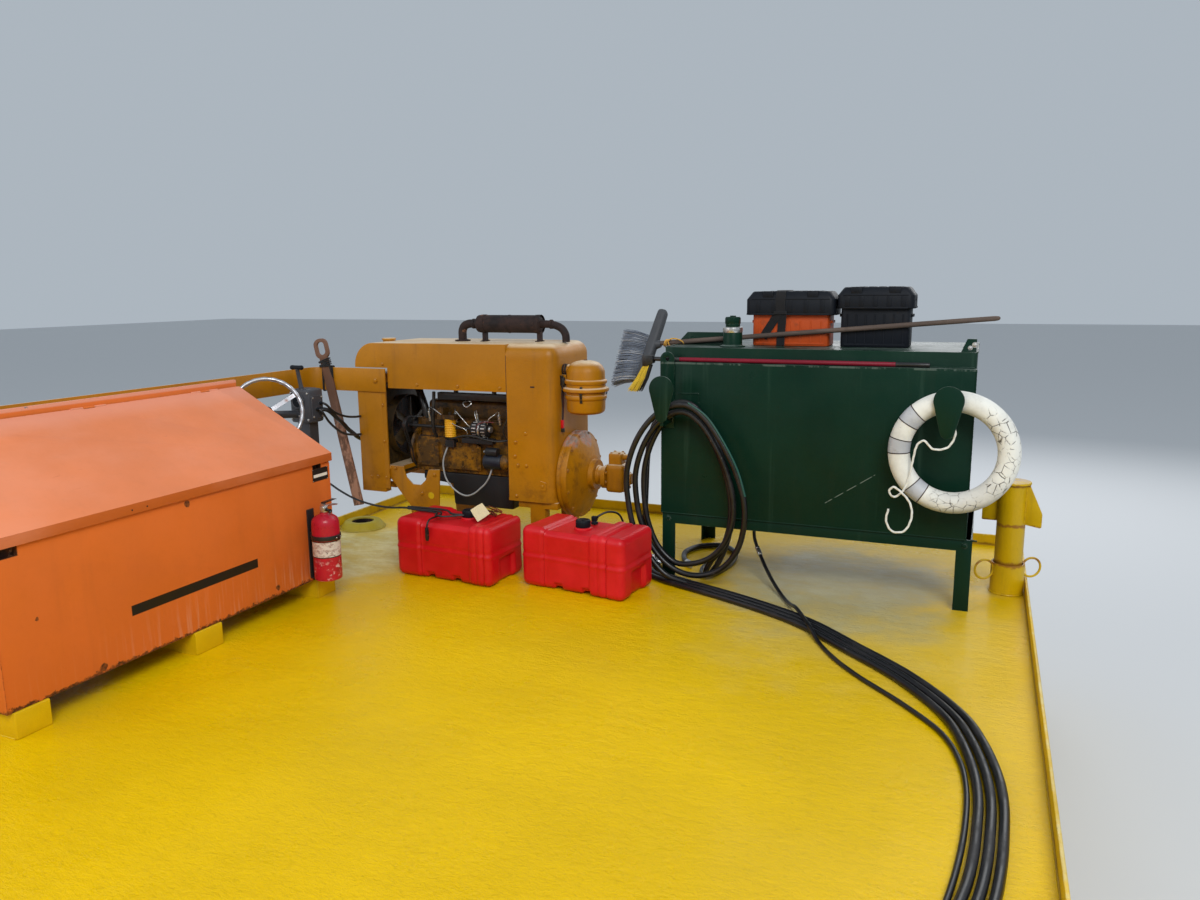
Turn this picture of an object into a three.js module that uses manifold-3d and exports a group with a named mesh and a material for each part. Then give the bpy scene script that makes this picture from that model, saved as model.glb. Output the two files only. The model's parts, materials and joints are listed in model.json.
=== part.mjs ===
// River work barge: a flat decked hull with its deck equipment.
// Frame in millimetres: origin at the centre of the flat bottom, X to starboard,
// Y towards the fore end, Z up. Deck equipment is placed by heights above the deck.
import * as THREE from 'three';
import { mergeVertices } from 'three/addons/utils/BufferGeometryUtils.js';
import Module from 'manifold-3d';

const wasm = await Module();
wasm.setup();

const GAP = 0.3;

const HULL = { beam: 4400, length: 9144, depth: 1220, rake: 1050, headlog: 420 };
const COAMING = { height: 70, thick: 12 };
const SOCKET = { x: -2030, y: 3482, outer: 150, bore: 76, height: 50, depth: 300 };

const BOLLARD = { radius: 70.5, height: 612, capRadius: 87, capThick: 14, horn: 82 };
const COLLAR = { inner: 75, outer: 84, height: 165, loop: 52, bar: 6 };
const BOLLARDS = [
  { end: 'fore_starboard', x: 2098, y: 3652, turn: -20, ring: 28 },
  { end: 'aft_starboard', x: 2098, y: -3652, turn: 20, ring: -28 },
  { end: 'aft_port', x: -2098, y: -3652, turn: 160, ring: 28 },
];

const CHEST = {
  front: -1332, rear: -1968, near: 496, far: 2341, bottom: 106, lip: 772, hinge: 1112, top: 1150,
  wall: 4, lidThick: 5, lidLip: 38, overhang: 8,
};
const HINGES = [700, 1388, 2076];
const RUNNERS = [{ y0: 516, y1: 657 }, { y0: 1357, y1: 1515 }, { y0: 2180, y1: 2321 }];
const EXTINGUISHER = { x: -1232, y: 2166, radius: 72, bottom: 131, shoulder: 470 };

const RAIL = { low: 986, high: 1138, thick: 10, portX: -2184, foreY: 3282, endX: -1632, aftY: 640, bend: 90 };
const COLUMN = { x0: -1862, x1: -1676, low: 320, high: 1130 };
const HELM = { x: -2010, y: 2975, z: 930 };
const WHEEL = { x: -1985, y: 2600, z: 930, radius: 200, rim: 13, turn: 45, tilt: -15 };

const ENGINE = { near: 3302, far: 3852, top: 1302, crank: 486, axisY: 3572 };
const FAN = { x: -1648, z: 735, radius: 190, blades: 6 };
const BELL = { radius: 272, x0: -430, x1: -300 };

const RED_TANKS = [
  { name: 'fuel_tank_port', x: -838, y: 2846, turn: -4 },
  { name: 'fuel_tank_starboard', x: -58, y: 2921, turn: -7.5 },
];
const RED_TANK = { length: 655, width: 370, height: 348 };

const TANK = { x0: 270, x1: 1880, near: 3234, ledge: 60, far: 4101, low: 375, shelf: 1232, top: 1310 };
const LIFE_RING = { x: 1800, y: 3118, z: 838, radius: 250, tube: 52 };
const COIL = { x: 440, y: 3150, z: 590, halfWidth: 300, halfHeight: 430, tube: 38 };

const HOSE = { radius: 16, side: 38 };
const THIN_HOSE_RADIUS = 10;
const LUG_Y = 3540;
const BROOM = { y: LUG_Y - 14 - GAP, radius: 14, endX: 110, endZ: 1310.6, farX: 1976, farZ: 1470, head: 260 };
const MANIFOLD = { x: 1900, y: 330, width: 300, depth: 70, height: 110, portZ: 54 };

const PAINT = {
  yellow: { color: 0xd9b10c, roughness: 0.35, metalness: 0.0 },
  orange: { color: 0xcb6a2c, roughness: 0.45, metalness: 0.0 },
  ochre: { color: 0xb9780c, roughness: 0.4, metalness: 0.0 },
  green: { color: 0x12362a, roughness: 0.4, metalness: 0.0 },
  red: { color: 0xc4141e, roughness: 0.4, metalness: 0.0 },
  black: { color: 0x1c1c1e, roughness: 0.6, metalness: 0.0 },
  grey: { color: 0x4a4d50, roughness: 0.5, metalness: 0.2 },
  rust: { color: 0x5a3522, roughness: 0.85, metalness: 0.3 },
  steel: { color: 0x9a9c9e, roughness: 0.35, metalness: 0.9 },
  white: { color: 0xe6e4dc, roughness: 0.55, metalness: 0.0 },
  hose: { color: 0x232325, roughness: 0.6, metalness: 0.0 },
  battery: { color: 0xc4501a, roughness: 0.5, metalness: 0.0 },
};
const materials = {};
for (const [name, look] of Object.entries(PAINT)) {
  materials[name] = new THREE.MeshStandardMaterial(look);
}

// Merges the shared corners, drops empty triangles and turns the faces outwards.
function closed(geometry) {
  const g = geometry.index ? geometry.toNonIndexed() : geometry.clone();
  for (const name of Object.keys(g.attributes)) {
    if (name !== 'position') g.deleteAttribute(name);
  }
  const merged = mergeVertices(g, 1e-3);
  const p = merged.attributes.position.array;
  const index = [];
  let volume = 0;
  for (let i = 0; i < merged.index.count; i += 3) {
    const [a, b, c] = [0, 1, 2].map((k) => merged.index.array[i + k]);
    if (a === b || b === c || a === c) continue;
    index.push(a, b, c);
    const [A, B, C] = [a, b, c].map((k) => new THREE.Vector3().fromArray(p, 3 * k));
    volume += A.dot(B.cross(C)) / 6;
  }
  if (volume < 0) {
    for (let i = 0; i < index.length; i += 3) [index[i], index[i + 1]] = [index[i + 1], index[i]];
  }
  return { positions: new Float32Array(p), index: new Uint32Array(index) };
}

function solid(geometry) {
  const { positions, index } = closed(geometry);
  return new wasm.Manifold(new wasm.Mesh({ numProp: 3, vertProperties: positions, triVerts: index }));
}

function join(...parts) {
  return parts.map((p) => (p.isBufferGeometry ? solid(p) : p)).reduce((a, b) => a.add(b));
}

function cut(body, ...tools) {
  let result = body.isBufferGeometry ? solid(body) : body;
  for (const tool of tools) result = result.subtract(tool.isBufferGeometry ? solid(tool) : tool);
  return result;
}

function toGeometry(body) {
  const source = body.isBufferGeometry ? solid(body) : body;
  const mesh = source.getMesh();
  const g = new THREE.BufferGeometry();
  g.setAttribute('position', new THREE.BufferAttribute(new Float32Array(mesh.vertProperties), mesh.numProp));
  g.setIndex(new THREE.BufferAttribute(new Uint32Array(mesh.triVerts), 1));
  g.computeVertexNormals();
  return g;
}

function box(x0, x1, y0, y1, z0, z1) {
  const g = new THREE.BoxGeometry(x1 - x0, y1 - y0, z1 - z0);
  return g.translate((x0 + x1) / 2, (y0 + y1) / 2, (z0 + z1) / 2);
}

function outline(points, holes = []) {
  const shape = new THREE.Shape(points.map(([u, v]) => new THREE.Vector2(u, v)));
  for (const hole of holes) {
    shape.holes.push(new THREE.Path(hole.map(([u, v]) => new THREE.Vector2(u, v))));
  }
  return shape;
}

function circlePoints(cx, cy, radius, count) {
  const points = [];
  for (let i = 0; i < count; i += 1) {
    const a = (2 * Math.PI * i) / count;
    points.push([cx + radius * Math.cos(a), cy + radius * Math.sin(a)]);
  }
  return points;
}

// Rounded rectangle as a list of corner points.
function roundedPoints(u0, u1, v0, v1, radius, steps = 4) {
  const corners = [
    { u: u1 - radius, v: v1 - radius, from: 0 },
    { u: u0 + radius, v: v1 - radius, from: 90 },
    { u: u0 + radius, v: v0 + radius, from: 180 },
    { u: u1 - radius, v: v0 + radius, from: 270 },
  ];
  const points = [];
  for (const corner of corners) {
    for (let i = 0; i <= steps; i += 1) {
      const a = THREE.MathUtils.degToRad(corner.from + (90 * i) / steps);
      points.push([corner.u + radius * Math.cos(a), corner.v + radius * Math.sin(a)]);
    }
  }
  return points;
}

function extruded(shape, from, to) {
  const g = new THREE.ExtrudeGeometry(shape, { depth: to - from, bevelEnabled: false, curveSegments: 8 });
  return g.translate(0, 0, from);
}

// A prism along Z from (x, y) points, along X from (y, z) points and along Y from (x, z) points.
function prismZ(points, z0, z1, holes) {
  return extruded(outline(points, holes), z0, z1);
}

function prismX(points, x0, x1, holes) {
  const turn = new THREE.Matrix4().set(0, 0, 1, 0, 1, 0, 0, 0, 0, 1, 0, 0, 0, 0, 0, 1);
  return extruded(outline(points, holes), x0, x1).applyMatrix4(turn);
}

function prismY(points, y0, y1, holes) {
  const turn = new THREE.Matrix4().set(1, 0, 0, 0, 0, 0, 1, 0, 0, 1, 0, 0, 0, 0, 0, 1);
  return extruded(outline(points, holes), y0, y1).applyMatrix4(turn);
}

// A block with its plan corners rounded and its upper and lower edges softened.
function softBlock(x0, x1, y0, y1, z0, z1, corner, edge, steps = 4) {
  const points = roundedPoints(x0 + edge, x1 - edge, y0 + edge, y1 - edge, Math.max(corner - edge, 1), steps);
  const g = new THREE.ExtrudeGeometry(outline(points), {
    depth: z1 - z0 - 2 * edge, bevelEnabled: true, bevelThickness: edge, bevelSize: edge, bevelSegments: 2,
  });
  return g.translate(0, 0, z0 + edge);
}

// A turned piece: the profile is [radius, height] pairs along Z, closed on the axis.
function turned(profile, segments = 20) {
  const points = profile.map(([r, h]) => new THREE.Vector2(r, h));
  return new THREE.LatheGeometry(points, segments).rotateX(Math.PI / 2);
}

function rod(from, to, radius, sides = 12) {
  const a = new THREE.Vector3(...from);
  const b = new THREE.Vector3(...to);
  const way = b.clone().sub(a);
  const g = new THREE.CylinderGeometry(radius, radius, way.length(), sides);
  const turn = new THREE.Quaternion().setFromUnitVectors(new THREE.Vector3(0, 1, 0), way.clone().normalize());
  return g.applyQuaternion(turn).translate(...a.add(b).multiplyScalar(0.5).toArray());
}

function tube(points, radius, sides = 8, steps = 40) {
  const path = new THREE.CatmullRomCurve3(points.map((p) => new THREE.Vector3(...p)), false, 'centripetal');
  const shape = outline(circlePoints(0, 0, radius, sides));
  return new THREE.ExtrudeGeometry(shape, { steps, extrudePath: path, bevelEnabled: false });
}

function spun(geometry, degrees, x, y, z = 0) {
  return geometry.rotateZ(THREE.MathUtils.degToRad(degrees)).translate(x, y, z);
}

const barge = new THREE.Group();
const onDeck = new THREE.Group();
onDeck.position.z = HULL.depth;
barge.add(onDeck);

function add(name, body, paint, group = onDeck) {
  const mesh = new THREE.Mesh(toGeometry(body), materials[paint]);
  mesh.name = name;
  group.add(mesh);
  return mesh;
}

// Hull: flat bottom, raked ends, flush deck with one socket for a mooring post.
{
  const end = HULL.length / 2;
  const low = end - HULL.rake;
  const lip = HULL.depth - HULL.headlog;
  const side = [
    [-low, 0], [low, 0], [end, lip], [end, HULL.depth], [-end, HULL.depth], [-end, lip],
  ];
  const body = prismX(side, -HULL.beam / 2, HULL.beam / 2);
  const bore = circlePoints(SOCKET.x, SOCKET.y, SOCKET.bore, 24);
  const socket = prismZ(bore, HULL.depth - SOCKET.depth, HULL.depth + 5);
  add('hull', cut(body, socket), 'yellow', barge);
}

{
  const x = HULL.beam / 2;
  const y = HULL.length / 2;
  const t = COAMING.thick;
  const outer = [[-x, -y], [x, -y], [x, y], [-x, y]];
  const inner = [[-x + t, -y + t], [-x + t, y - t], [x - t, y - t], [x - t, -y + t]];
  add('deck_coaming', prismZ(outer, GAP, COAMING.height, [inner]), 'yellow');
}

{
  const r = SOCKET.outer;
  const profile = [
    [SOCKET.bore, GAP], [r, GAP], [r, 14], [r - 26, SOCKET.height - 6], [r - 34, SOCKET.height],
    [SOCKET.bore, SOCKET.height], [SOCKET.bore, GAP],
  ];
  add('socket_ring', turned(profile, 28).translate(SOCKET.x, SOCKET.y, 0), 'yellow');
}

// Mooring bollards: a capped pipe with two triangular horns, standing in a collar with two rings.
for (const post of BOLLARDS) {
  const r = BOLLARD.radius;
  const h = BOLLARD.height;
  const cap = BOLLARD.capRadius;
  const pipe = turned([
    [0, GAP], [r, GAP], [r, h - BOLLARD.capThick], [cap - 4, h - BOLLARD.capThick],
    [cap, h - BOLLARD.capThick + 4], [cap, h - 4], [cap - 4, h], [0, h],
  ], 28);
  const horn = [
    [r - 10, 385], [r + BOLLARD.horn, 378], [r + BOLLARD.horn, 455], [r + 8, h - BOLLARD.capThick + 2],
    [r - 10, h - BOLLARD.capThick + 2],
  ];
  const plates = [0, 180].map((side) => prismY(horn, -5, 5).rotateZ(THREE.MathUtils.degToRad(side)));
  const shaft = join(pipe, ...plates).rotate([0, 0, post.turn]).translate([post.x, post.y, 0]);
  add(`bollard_${post.end}`, shaft, 'yellow');

  const sleeve = turned([
    [COLLAR.inner, GAP], [COLLAR.outer, GAP], [COLLAR.outer, COLLAR.height], [COLLAR.inner, COLLAR.height],
    [COLLAR.inner, GAP],
  ], 28);
  const loops = [0, 180].map((side) => {
    const loop = new THREE.TorusGeometry(COLLAR.loop, COLLAR.bar, 6, 16).rotateX(Math.PI / 2);
    loop.translate(COLLAR.outer + COLLAR.loop - 5, 0, 130);
    return loop.rotateZ(THREE.MathUtils.degToRad(side));
  });
  const core = prismZ(circlePoints(0, 0, COLLAR.inner, 28), -5, COLLAR.height + 5);
  const collar = cut(join(sleeve, ...loops), core).rotate([0, 0, post.ring]).translate([post.x, post.y, 0]);
  add(`collar_${post.end}`, collar, 'yellow');
}

// Tool chest: sloping lid hinged below the back rail, on three cross runners.
{
  const c = CHEST;
  const slope = (c.hinge - c.lip) / (c.front - (c.rear + 22));
  const rimAt = (x) => c.lip + (c.front - x) * slope;
  const side = [
    [c.front, c.bottom], [c.front, c.lip - 6], [c.rear + 22, c.hinge - 6], [c.rear + 22, c.top],
    [c.rear, c.top], [c.rear, c.bottom],
  ];
  const w = c.wall;
  const inside = [
    [c.front - w, c.bottom + w], [c.front - w, c.lip + 40], [c.rear + 22 + w, c.hinge + 60],
    [c.rear + 22 + w, c.bottom + w],
  ];
  const pockets = [[c.near + 46, c.near + 116], [c.far - 130, c.far - 62]].map(([y0, y1]) => (
    box(c.front - 20, c.front + 20, y0, y1, c.lip - 84, c.lip - 46)
  ));
  const shell = cut(prismY(side, c.near, c.far), prismY(inside, c.near + w, c.far - w), ...pockets);
  const pin = { x: c.rear + 30, z: rimAt(c.rear + 30) + c.lidThick / 2, radius: 6 };
  const knuckle = (y0, y1) => rod([pin.x, y0, pin.z], [pin.x, y1, pin.z], pin.radius, 10);
  const fixed = HINGES.flatMap((y) => [
    knuckle(y, y + 60),
    box(c.rear + 21, pin.x, y, y + 60, pin.z - 3, pin.z + 3),
  ]);
  add('chest_body', join(shell, ...fixed), 'orange');

  const run = c.front + c.overhang - (c.rear + 30);
  const high = rimAt(c.rear + 30);
  const low = rimAt(c.front + c.overhang);
  const t = c.lidThick;
  const lid = [
    [c.rear + 30, high], [c.front + c.overhang, low], [c.front + c.overhang, low - c.lidLip],
    [c.front + c.overhang + t, low - c.lidLip], [c.front + c.overhang + t, low + t], [c.rear + 30, high + t],
  ];
  const flange = [
    [c.rear + 34, high + 1], [c.front + c.overhang + 1, low + 1], [c.front + c.overhang + 1, low - c.lidLip],
    [c.front + c.overhang - 40, low - c.lidLip + 40 * (high - low) / run], [c.rear + 34, high - c.lidLip],
  ];
  const sides = [c.near - 12, c.far + 8].map((y) => prismY(flange, y, y + 4));
  const notches = HINGES.map((y) => (
    box(pin.x - 20, pin.x + 9, y - GAP, y + 60 + GAP, pin.z - 20, pin.z + 20)
  ));
  const swung = HINGES.flatMap((y) => [knuckle(y - 60, y - GAP), knuckle(y + 60 + GAP, y + 120)]);
  const cover = cut(prismY(lid, c.near - 12, c.far + 12), ...notches);
  add('chest_lid', join(cover, ...sides, ...swung), 'orange');

  RUNNERS.forEach((foot, i) => {
    const top = c.bottom - GAP;
    const hat = [
      [foot.y0, GAP], [foot.y0 + 8, GAP], [foot.y0 + 8, top - 8], [foot.y1 - 8, top - 8],
      [foot.y1 - 8, GAP], [foot.y1, GAP], [foot.y1, top], [foot.y0, top],
    ];
    const channel = prismX(hat, c.rear + 10, c.front + 4);
    const face = box(c.front - 2, c.front + 10, foot.y0, foot.y1, GAP, top);
    add(`chest_runner_${i + 1}`, join(channel, face), 'yellow');
  });
}

// Fire extinguisher on a bracket at the chest's front.
{
  const e = EXTINGUISHER;
  const back = box(CHEST.front + GAP, CHEST.front + 6, e.y - 26, e.y + 26, 130, 500);
  const shelf = box(CHEST.front + GAP, e.x + 40, e.y - 26, e.y + 26, e.bottom - 7, e.bottom - 1);
  const band = cut(
    prismZ(circlePoints(e.x, e.y, e.radius + 5, 24), 352, 376),
    prismZ(circlePoints(e.x, e.y, e.radius + 1, 24), 340, 390),
  );
  const bandBack = box(CHEST.front + 3, e.x - e.radius - 2, e.y - 12, e.y + 12, 352, 376);
  add('extinguisher_bracket', join(back, shelf, band, bandBack), 'black');
  const r = e.radius;
  const profile = [
    [0, e.bottom], [r - 8, e.bottom], [r, e.bottom + 8], [r, e.shoulder - 40],
    [r - 10, e.shoulder - 15], [r - 40, e.shoulder + 8], [24, e.shoulder + 14], [24, e.shoulder + 24],
    [0, e.shoulder + 24],
  ];
  add('extinguisher_cylinder', turned(profile).translate(e.x, e.y, 0), 'red');
  const z = e.shoulder + 24 + GAP;
  const valve = join(
    rod([e.x, e.y, z], [e.x, e.y, z + 34], 17),
    box(e.x - 12, e.x + 12, e.y - 20, e.y + 95, z + 26, z + 33),
    box(e.x - 10, e.x + 10, e.y - 12, e.y + 88, z + 48, z + 54),
    box(e.x - 10, e.x + 10, e.y - 18, e.y + 4, z + 20, z + 54),
    rod([e.x, e.y, z + 16], [e.x + 42, e.y - 12, z + 16], 12),
  );
  add('extinguisher_valve', valve, 'steel');
}

// Guard: a flat bar from the engine's front round the port edge, on posts, and its column.
{
  const g = RAIL;
  const bend = g.bend;
  const inner = [];
  const outer = [];
  for (let i = 0; i <= 6; i += 1) {
    const a = THREE.MathUtils.degToRad(180 - (90 * i) / 6);
    inner.push([g.portX + bend + bend * Math.cos(a), g.foreY - bend + bend * Math.sin(a)]);
    const r = bend + g.thick;
    outer.push([g.portX + bend + r * Math.cos(a), g.foreY - bend + r * Math.sin(a)]);
  }
  const plan = [
    [g.portX, g.aftY], ...inner, [g.endX, g.foreY], [g.endX, g.foreY + g.thick], ...outer.reverse(),
    [g.portX - g.thick, g.aftY],
  ];
  const posts = [700, 2240].map((y) => box(g.portX - 2, g.portX + 56, y, y + 56, GAP, g.low + 60));
  add('guard_rail', join(prismZ(plan, g.low, g.high), ...posts), 'ochre');

  const c = COLUMN;
  const y = g.foreY + g.thick + GAP;
  const channel = [
    [c.x0, y], [c.x1, y], [c.x1, y + 60], [c.x1 - 8, y + 60], [c.x1 - 8, y + 8],
    [c.x0 + 8, y + 8], [c.x0 + 8, y + 60], [c.x0, y + 60],
  ];
  add('guard_column', prismZ(channel, c.low, c.high), 'ochre');
}

// Helm: a post with the control box and its lever, and the wheel on its own shaft.
{
  const h = HELM;
  const post = box(h.x - 45, h.x + 45, h.y - 40, h.y + 40, GAP, h.z - 100);
  const base = box(h.x - 90, h.x + 90, h.y - 80, h.y + 80, GAP, 12);
  const head = softBlock(h.x - 80, h.x + 80, h.y - 70, h.y + 70, h.z - 110, h.z + 100, 30, 14, 2);
  const turn = THREE.MathUtils.degToRad(WHEEL.turn);
  const tilt = THREE.MathUtils.degToRad(WHEEL.tilt);
  const shaft = [-Math.sin(turn) * Math.cos(tilt), Math.cos(turn) * Math.cos(tilt), Math.sin(tilt)];
  const along = (d) => [WHEEL.x + shaft[0] * d, WHEEL.y + shaft[1] * d, WHEEL.z + shaft[2] * d];
  const bearing = rod(along(46 + GAP), along(130), 30);
  const arm = rod(along(120), [h.x - 20, h.y - 20, h.z - 60], 24);
  add('helm_post', join(post, base, head, bearing, arm), 'grey');

  const lever = join(
    rod([h.x - 4, h.y - 36, h.z + 102.9], [h.x - 4, h.y - 62, h.z + 232], 13),
    rod([h.x - 50, h.y - 64, h.z + 238], [h.x + 42, h.y - 64, h.z + 238], 15),
  );
  add('throttle_lever', lever, 'grey');

  const w = WHEEL;
  const rim = new THREE.TorusGeometry(w.radius, w.rim, 8, 24).rotateX(Math.PI / 2);
  const spokes = [30, 150, 270].map((a) => {
    const t = THREE.MathUtils.degToRad(a);
    return rod([0, 18, 0], [w.radius * Math.cos(t), 0, w.radius * Math.sin(t)], 8, 8);
  });
  const hub = rod([0, -14, 0], [0, 46, 0], 34, 16);
  const wheel = join(rim, hub, ...spokes).rotate([w.tilt, 0, w.turn]).translate([w.x, w.y, w.z]);
  add('steering_wheel', wheel, 'grey');
}

// Flat bar with an eye, lashed to the guard's corner.
{
  const points = [[-30, -1010], [30, -1010], [26, 8], [-26, 8]];
  const eye = cut(
    prismY(roundedPoints(-44, 44, -12, 122, 40), -8, 8),
    prismY(roundedPoints(-24, 24, 14, 100, 22), -20, 20),
  );
  const bar = join(prismY(points, -7, 7), eye).rotate([0, -12.5, 0]);
  add('eye_bar', bar.translate([-2104, RAIL.foreY - 10.2, 1205]), 'rust');
}

// Engine unit: hood, cowl, radiator with shroud and fan, engine, supports and pump.
{
  const e = ENGINE;
  const y = e.axisY;
  const arc = [];
  for (let i = 0; i <= 5; i += 1) {
    const a = THREE.MathUtils.degToRad(180 - (90 * i) / 5);
    arc.push([-1880 + 150 + 150 * Math.cos(a), e.top - 150 + 150 * Math.sin(a)]);
  }
  const end = -757 - GAP;
  const front = [[-1880, 1142], ...arc, [end, e.top + 6], [end, 1016], [-1625, 1012], [-1625, 1142]];
  const inside = [[-1860, 1100], [-1860, 1180], [-1740, e.top - 12], [-780, e.top - 8], [-780, 960],
    [-1860, 960]];
  const cap = rod([-1752, y - 60, e.top - 8], [-1752, y - 60, e.top + 20], 46, 16);
  const hood = join(cut(prismY(front, e.near, e.far), prismY(inside, e.near + 10, e.far - 10)), cap);
  add('engine_hood', hood, 'ochre');

  const cowl = join(
    softBlock(-757, -430, e.near, e.far, 342, e.top + 8, 80, 20, 4),
    box(-757, -560, e.near, e.far, 342, 1290),
  );
  add('engine_cowl', cowl, 'ochre');

  const core = box(-1850, -1721 - GAP, e.near + 54, e.far - 24, 380, 1090);
  add('radiator', core, 'black');
  const plate = [[e.near + 54, 400], [e.far - 24, 400], [e.far - 24, 1000], [e.near + 54, 1000]];
  const ring = circlePoints(y, FAN.z, FAN.radius + 12, 28);
  const shroud = join(
    prismX(plate, -1721, -1713, [ring]),
    cut(
      prismX(circlePoints(y, FAN.z, FAN.radius + 17, 28), -1717, -1650),
      prismX(circlePoints(y, FAN.z, FAN.radius + 12, 28), -1730, -1640),
    ),
  );
  add('fan_shroud', shroud, 'ochre');

  const blades = [];
  for (let i = 0; i < FAN.blades; i += 1) {
    const blade = box(-4, 4, -38, 38, 30, FAN.radius).rotateZ(THREE.MathUtils.degToRad(32));
    blades.push(blade.rotateX((2 * Math.PI * i) / FAN.blades).translate(FAN.x, y, FAN.z));
  }
  const boss = prismX(circlePoints(y, FAN.z, 52, 16), FAN.x - 24, FAN.x + 24);
  add('fan', join(boss, ...blades), 'ochre');

  // Boxes of the engine: x and z from the frame, across as offsets from the crank's axis.
  const boxes = [
    { part: 'crankcase', x: [-1500, -764], across: [-150, 150], z: [458, 690] },
    { part: 'cylinder head', x: [-1480, -790], across: [-128, 128], z: [689, 806] },
    { part: 'timing case', x: [-1540, -1499], across: [-70, 70], z: [640, 800] },
    { part: 'filter bracket', x: [-1390, -1310], across: [-190, -140], z: [770, 800] },
    { part: 'injection pump', x: [-1290, -1000], across: [-190, -140], z: [560, 640] },
    { part: 'alternator bracket', x: [-1060, -1000], across: [-200, -140], z: [640, 720] },
    { part: 'manifold', x: [-1420, -840], across: [120, 190], z: [700, 780] },
  ].map(({ x, across, z }) => box(x[0], x[1], y + across[0], y + across[1], z[0], z[1]));
  // Round parts along X: the crank pulley, the fan pulley and the fan's shaft.
  const pulleys = [
    { z: 590, radius: 150, x0: -1560, x1: -1499, sides: 20 },
    { z: FAN.z, radius: 60, x0: -1596, x1: -1499, sides: 16 },
    { z: FAN.z, radius: 26, x0: FAN.x + 24 + GAP, x1: -1590, sides: 12 },
  ].map(({ z, radius, x0, x1, sides }) => prismX(circlePoints(y, z, radius, sides), x0, x1));
  const block = join(
    ...boxes,
    ...pulleys,
    softBlock(-1450, -815, y - 88, y + 88, 800, 925, 40, 26, 3),
    rod([-1350, y - 188, 640], [-1350, y - 188, 786], 42, 16),
    rod([-1130, y - 190, 700], [-940, y - 190, 700], 52, 14),
  );
  add('engine_block', block, 'ochre');
  const pan = [
    [-1470, 457.7], [-1470, 400], [-1250, 380], [-1240, 243], [-800, 243], [-780, 457.7],
  ];
  add('engine_sump', prismY(pan, y - 138, y + 138), 'black');

  const near = e.near + 4;
  const far = e.far - 14;
  const vee = [
    [-1672, 500], [-1672, 450], [-1495, 240], [-1478, GAP], [-1290, GAP], [-1276, 250], [-1262, 497],
    [-1346, 491], [-1372, 420], [-1410, 386], [-1470, 386], [-1520, 430], [-1540, 500],
  ];
  const support = join(
    prismY(vee, near, near + 10),
    prismY(vee, far, far + 10),
    box(-1478, -1290, near, far + 10, GAP, 40),
    box(-1672, -1560, near, far + 10, 470, 498),
    ...[near + 52, far - 30].flatMap((side) => [
      box(-1850, -1640, side, side + 10, 340, 380 - GAP),
      box(-1660, -1640, side, side + 10, 340, 480),
    ]),
  );
  add('front_support', support, 'ochre');
  const rear = join(
    box(-700, -432, e.near + 20, e.near + 110, 300, 341.7),
    box(-700, -432, e.far - 110, e.far - 20, 300, 341.7),
    box(-620, -520, e.near + 20, e.near + 90, GAP, 310),
    box(-620, -520, e.far - 90, e.far - 20, GAP, 310),
    box(-620, -520, e.near + 20, e.far - 20, GAP, 40),
  );
  add('rear_support', rear, 'ochre');

  const b = BELL;
  const bell = prismX(circlePoints(y, e.crank, b.radius, 36), b.x0 + GAP, b.x1 - 60);
  const face = new THREE.CylinderGeometry(120, b.radius - 16, 60, 36).rotateZ(-Math.PI / 2);
  const flange = prismX(circlePoints(y, e.crank, 96, 24), b.x1 - 10, b.x1 + 34);
  add('bell_housing', join(bell, face.translate(b.x1 - 30, y, e.crank), flange), 'ochre');

  const px = b.x1 + 34 + GAP;
  const pump = join(
    prismX(circlePoints(y, e.crank, 62, 20), px, px + 62),
    box(px + 50, px + 78, y - 92, y + 92, e.crank - 66, e.crank + 66),
    box(px + 70, px + 190, y - 70, y + 70, e.crank - 92, e.crank + 84),
    box(px + 86, px + 170, y - 46, y + 46, e.crank + 80, e.crank + 150),
    prismX(circlePoints(y, e.crank + 124, 22, 12), px + 160, px + 214),
    prismX(circlePoints(y, e.crank - 10, 44, 16), px + 180, px + 226),
  );
  add('pump', pump, 'ochre');

  const cleaner = turned([
    [0, 892], [96, 892], [116, 912], [118, 980], [126, 986], [126, 1000], [118, 1006], [118, 1022],
    [140, 1030], [140, 1046], [118, 1054], [118, 1070], [128, 1078], [128, 1092], [116, 1100],
    [114, 1150], [96, 1184], [60, 1206], [0, 1212],
  ], 22).translate(-285, 3440, 0);
  const stub = rod([-429.5, 3440, 1150], [-290, 3440, 1150], 34);
  add('air_cleaner', join(cleaner, stub), 'ochre');

  const can = prismX(circlePoints(y, 1418, 56, 20), -1098, -645);
  const inlet = [
    [-1216, y, 1305.7], [-1216, y, 1372], [-1190, y, 1412], [-1130, y, 1418], [-1090, y, 1418],
  ];
  const outlet = [
    [-655, y, 1418], [-590, y, 1418], [-520, y, 1402], [-476, y, 1366], [-474, y, 1336], [-474, y, 1310.3],
  ];
  const legs = [[-1060, 1306.7], [-668, 1310.3]].map(([x, low]) => box(x, x + 26, y - 16, y + 16, low, 1380));
  add('muffler', join(can, tube(inlet, 27, 8, 10), tube(outlet, 24, 8, 12), ...legs), 'rust');
}

// Two portable fuel tanks lying on the deck.
for (const tank of RED_TANKS) {
  const { length: l, width: w, height: h } = RED_TANK;
  const body = softBlock(-l / 2, l / 2, -w / 2, w / 2, 0, h, 44, 30, 3);
  const bead = softBlock(-l / 2 - 3, l / 2 + 3, -w / 2 - 3, w / 2 + 3, h / 2 - 5, h / 2 + 5, 46, 4, 3);
  const notches = [-90, 90].map((x) => box(x - 26, x + 26, -w, w, -5, 16));
  const grooves = [-150, 160].map((x) => box(x - 14, x + 14, -w, w, h - 14, h + 20));
  const cap = rod([60, 20, h - 20], [60, 20, h + 22], 36, 18);
  const shaped = join(cut(join(body, bead), ...notches, ...grooves), cap);
  add(tank.name, shaped.rotate([0, 0, tank.turn]).translate([tank.x, tank.y, GAP]), 'red');
}

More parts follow.
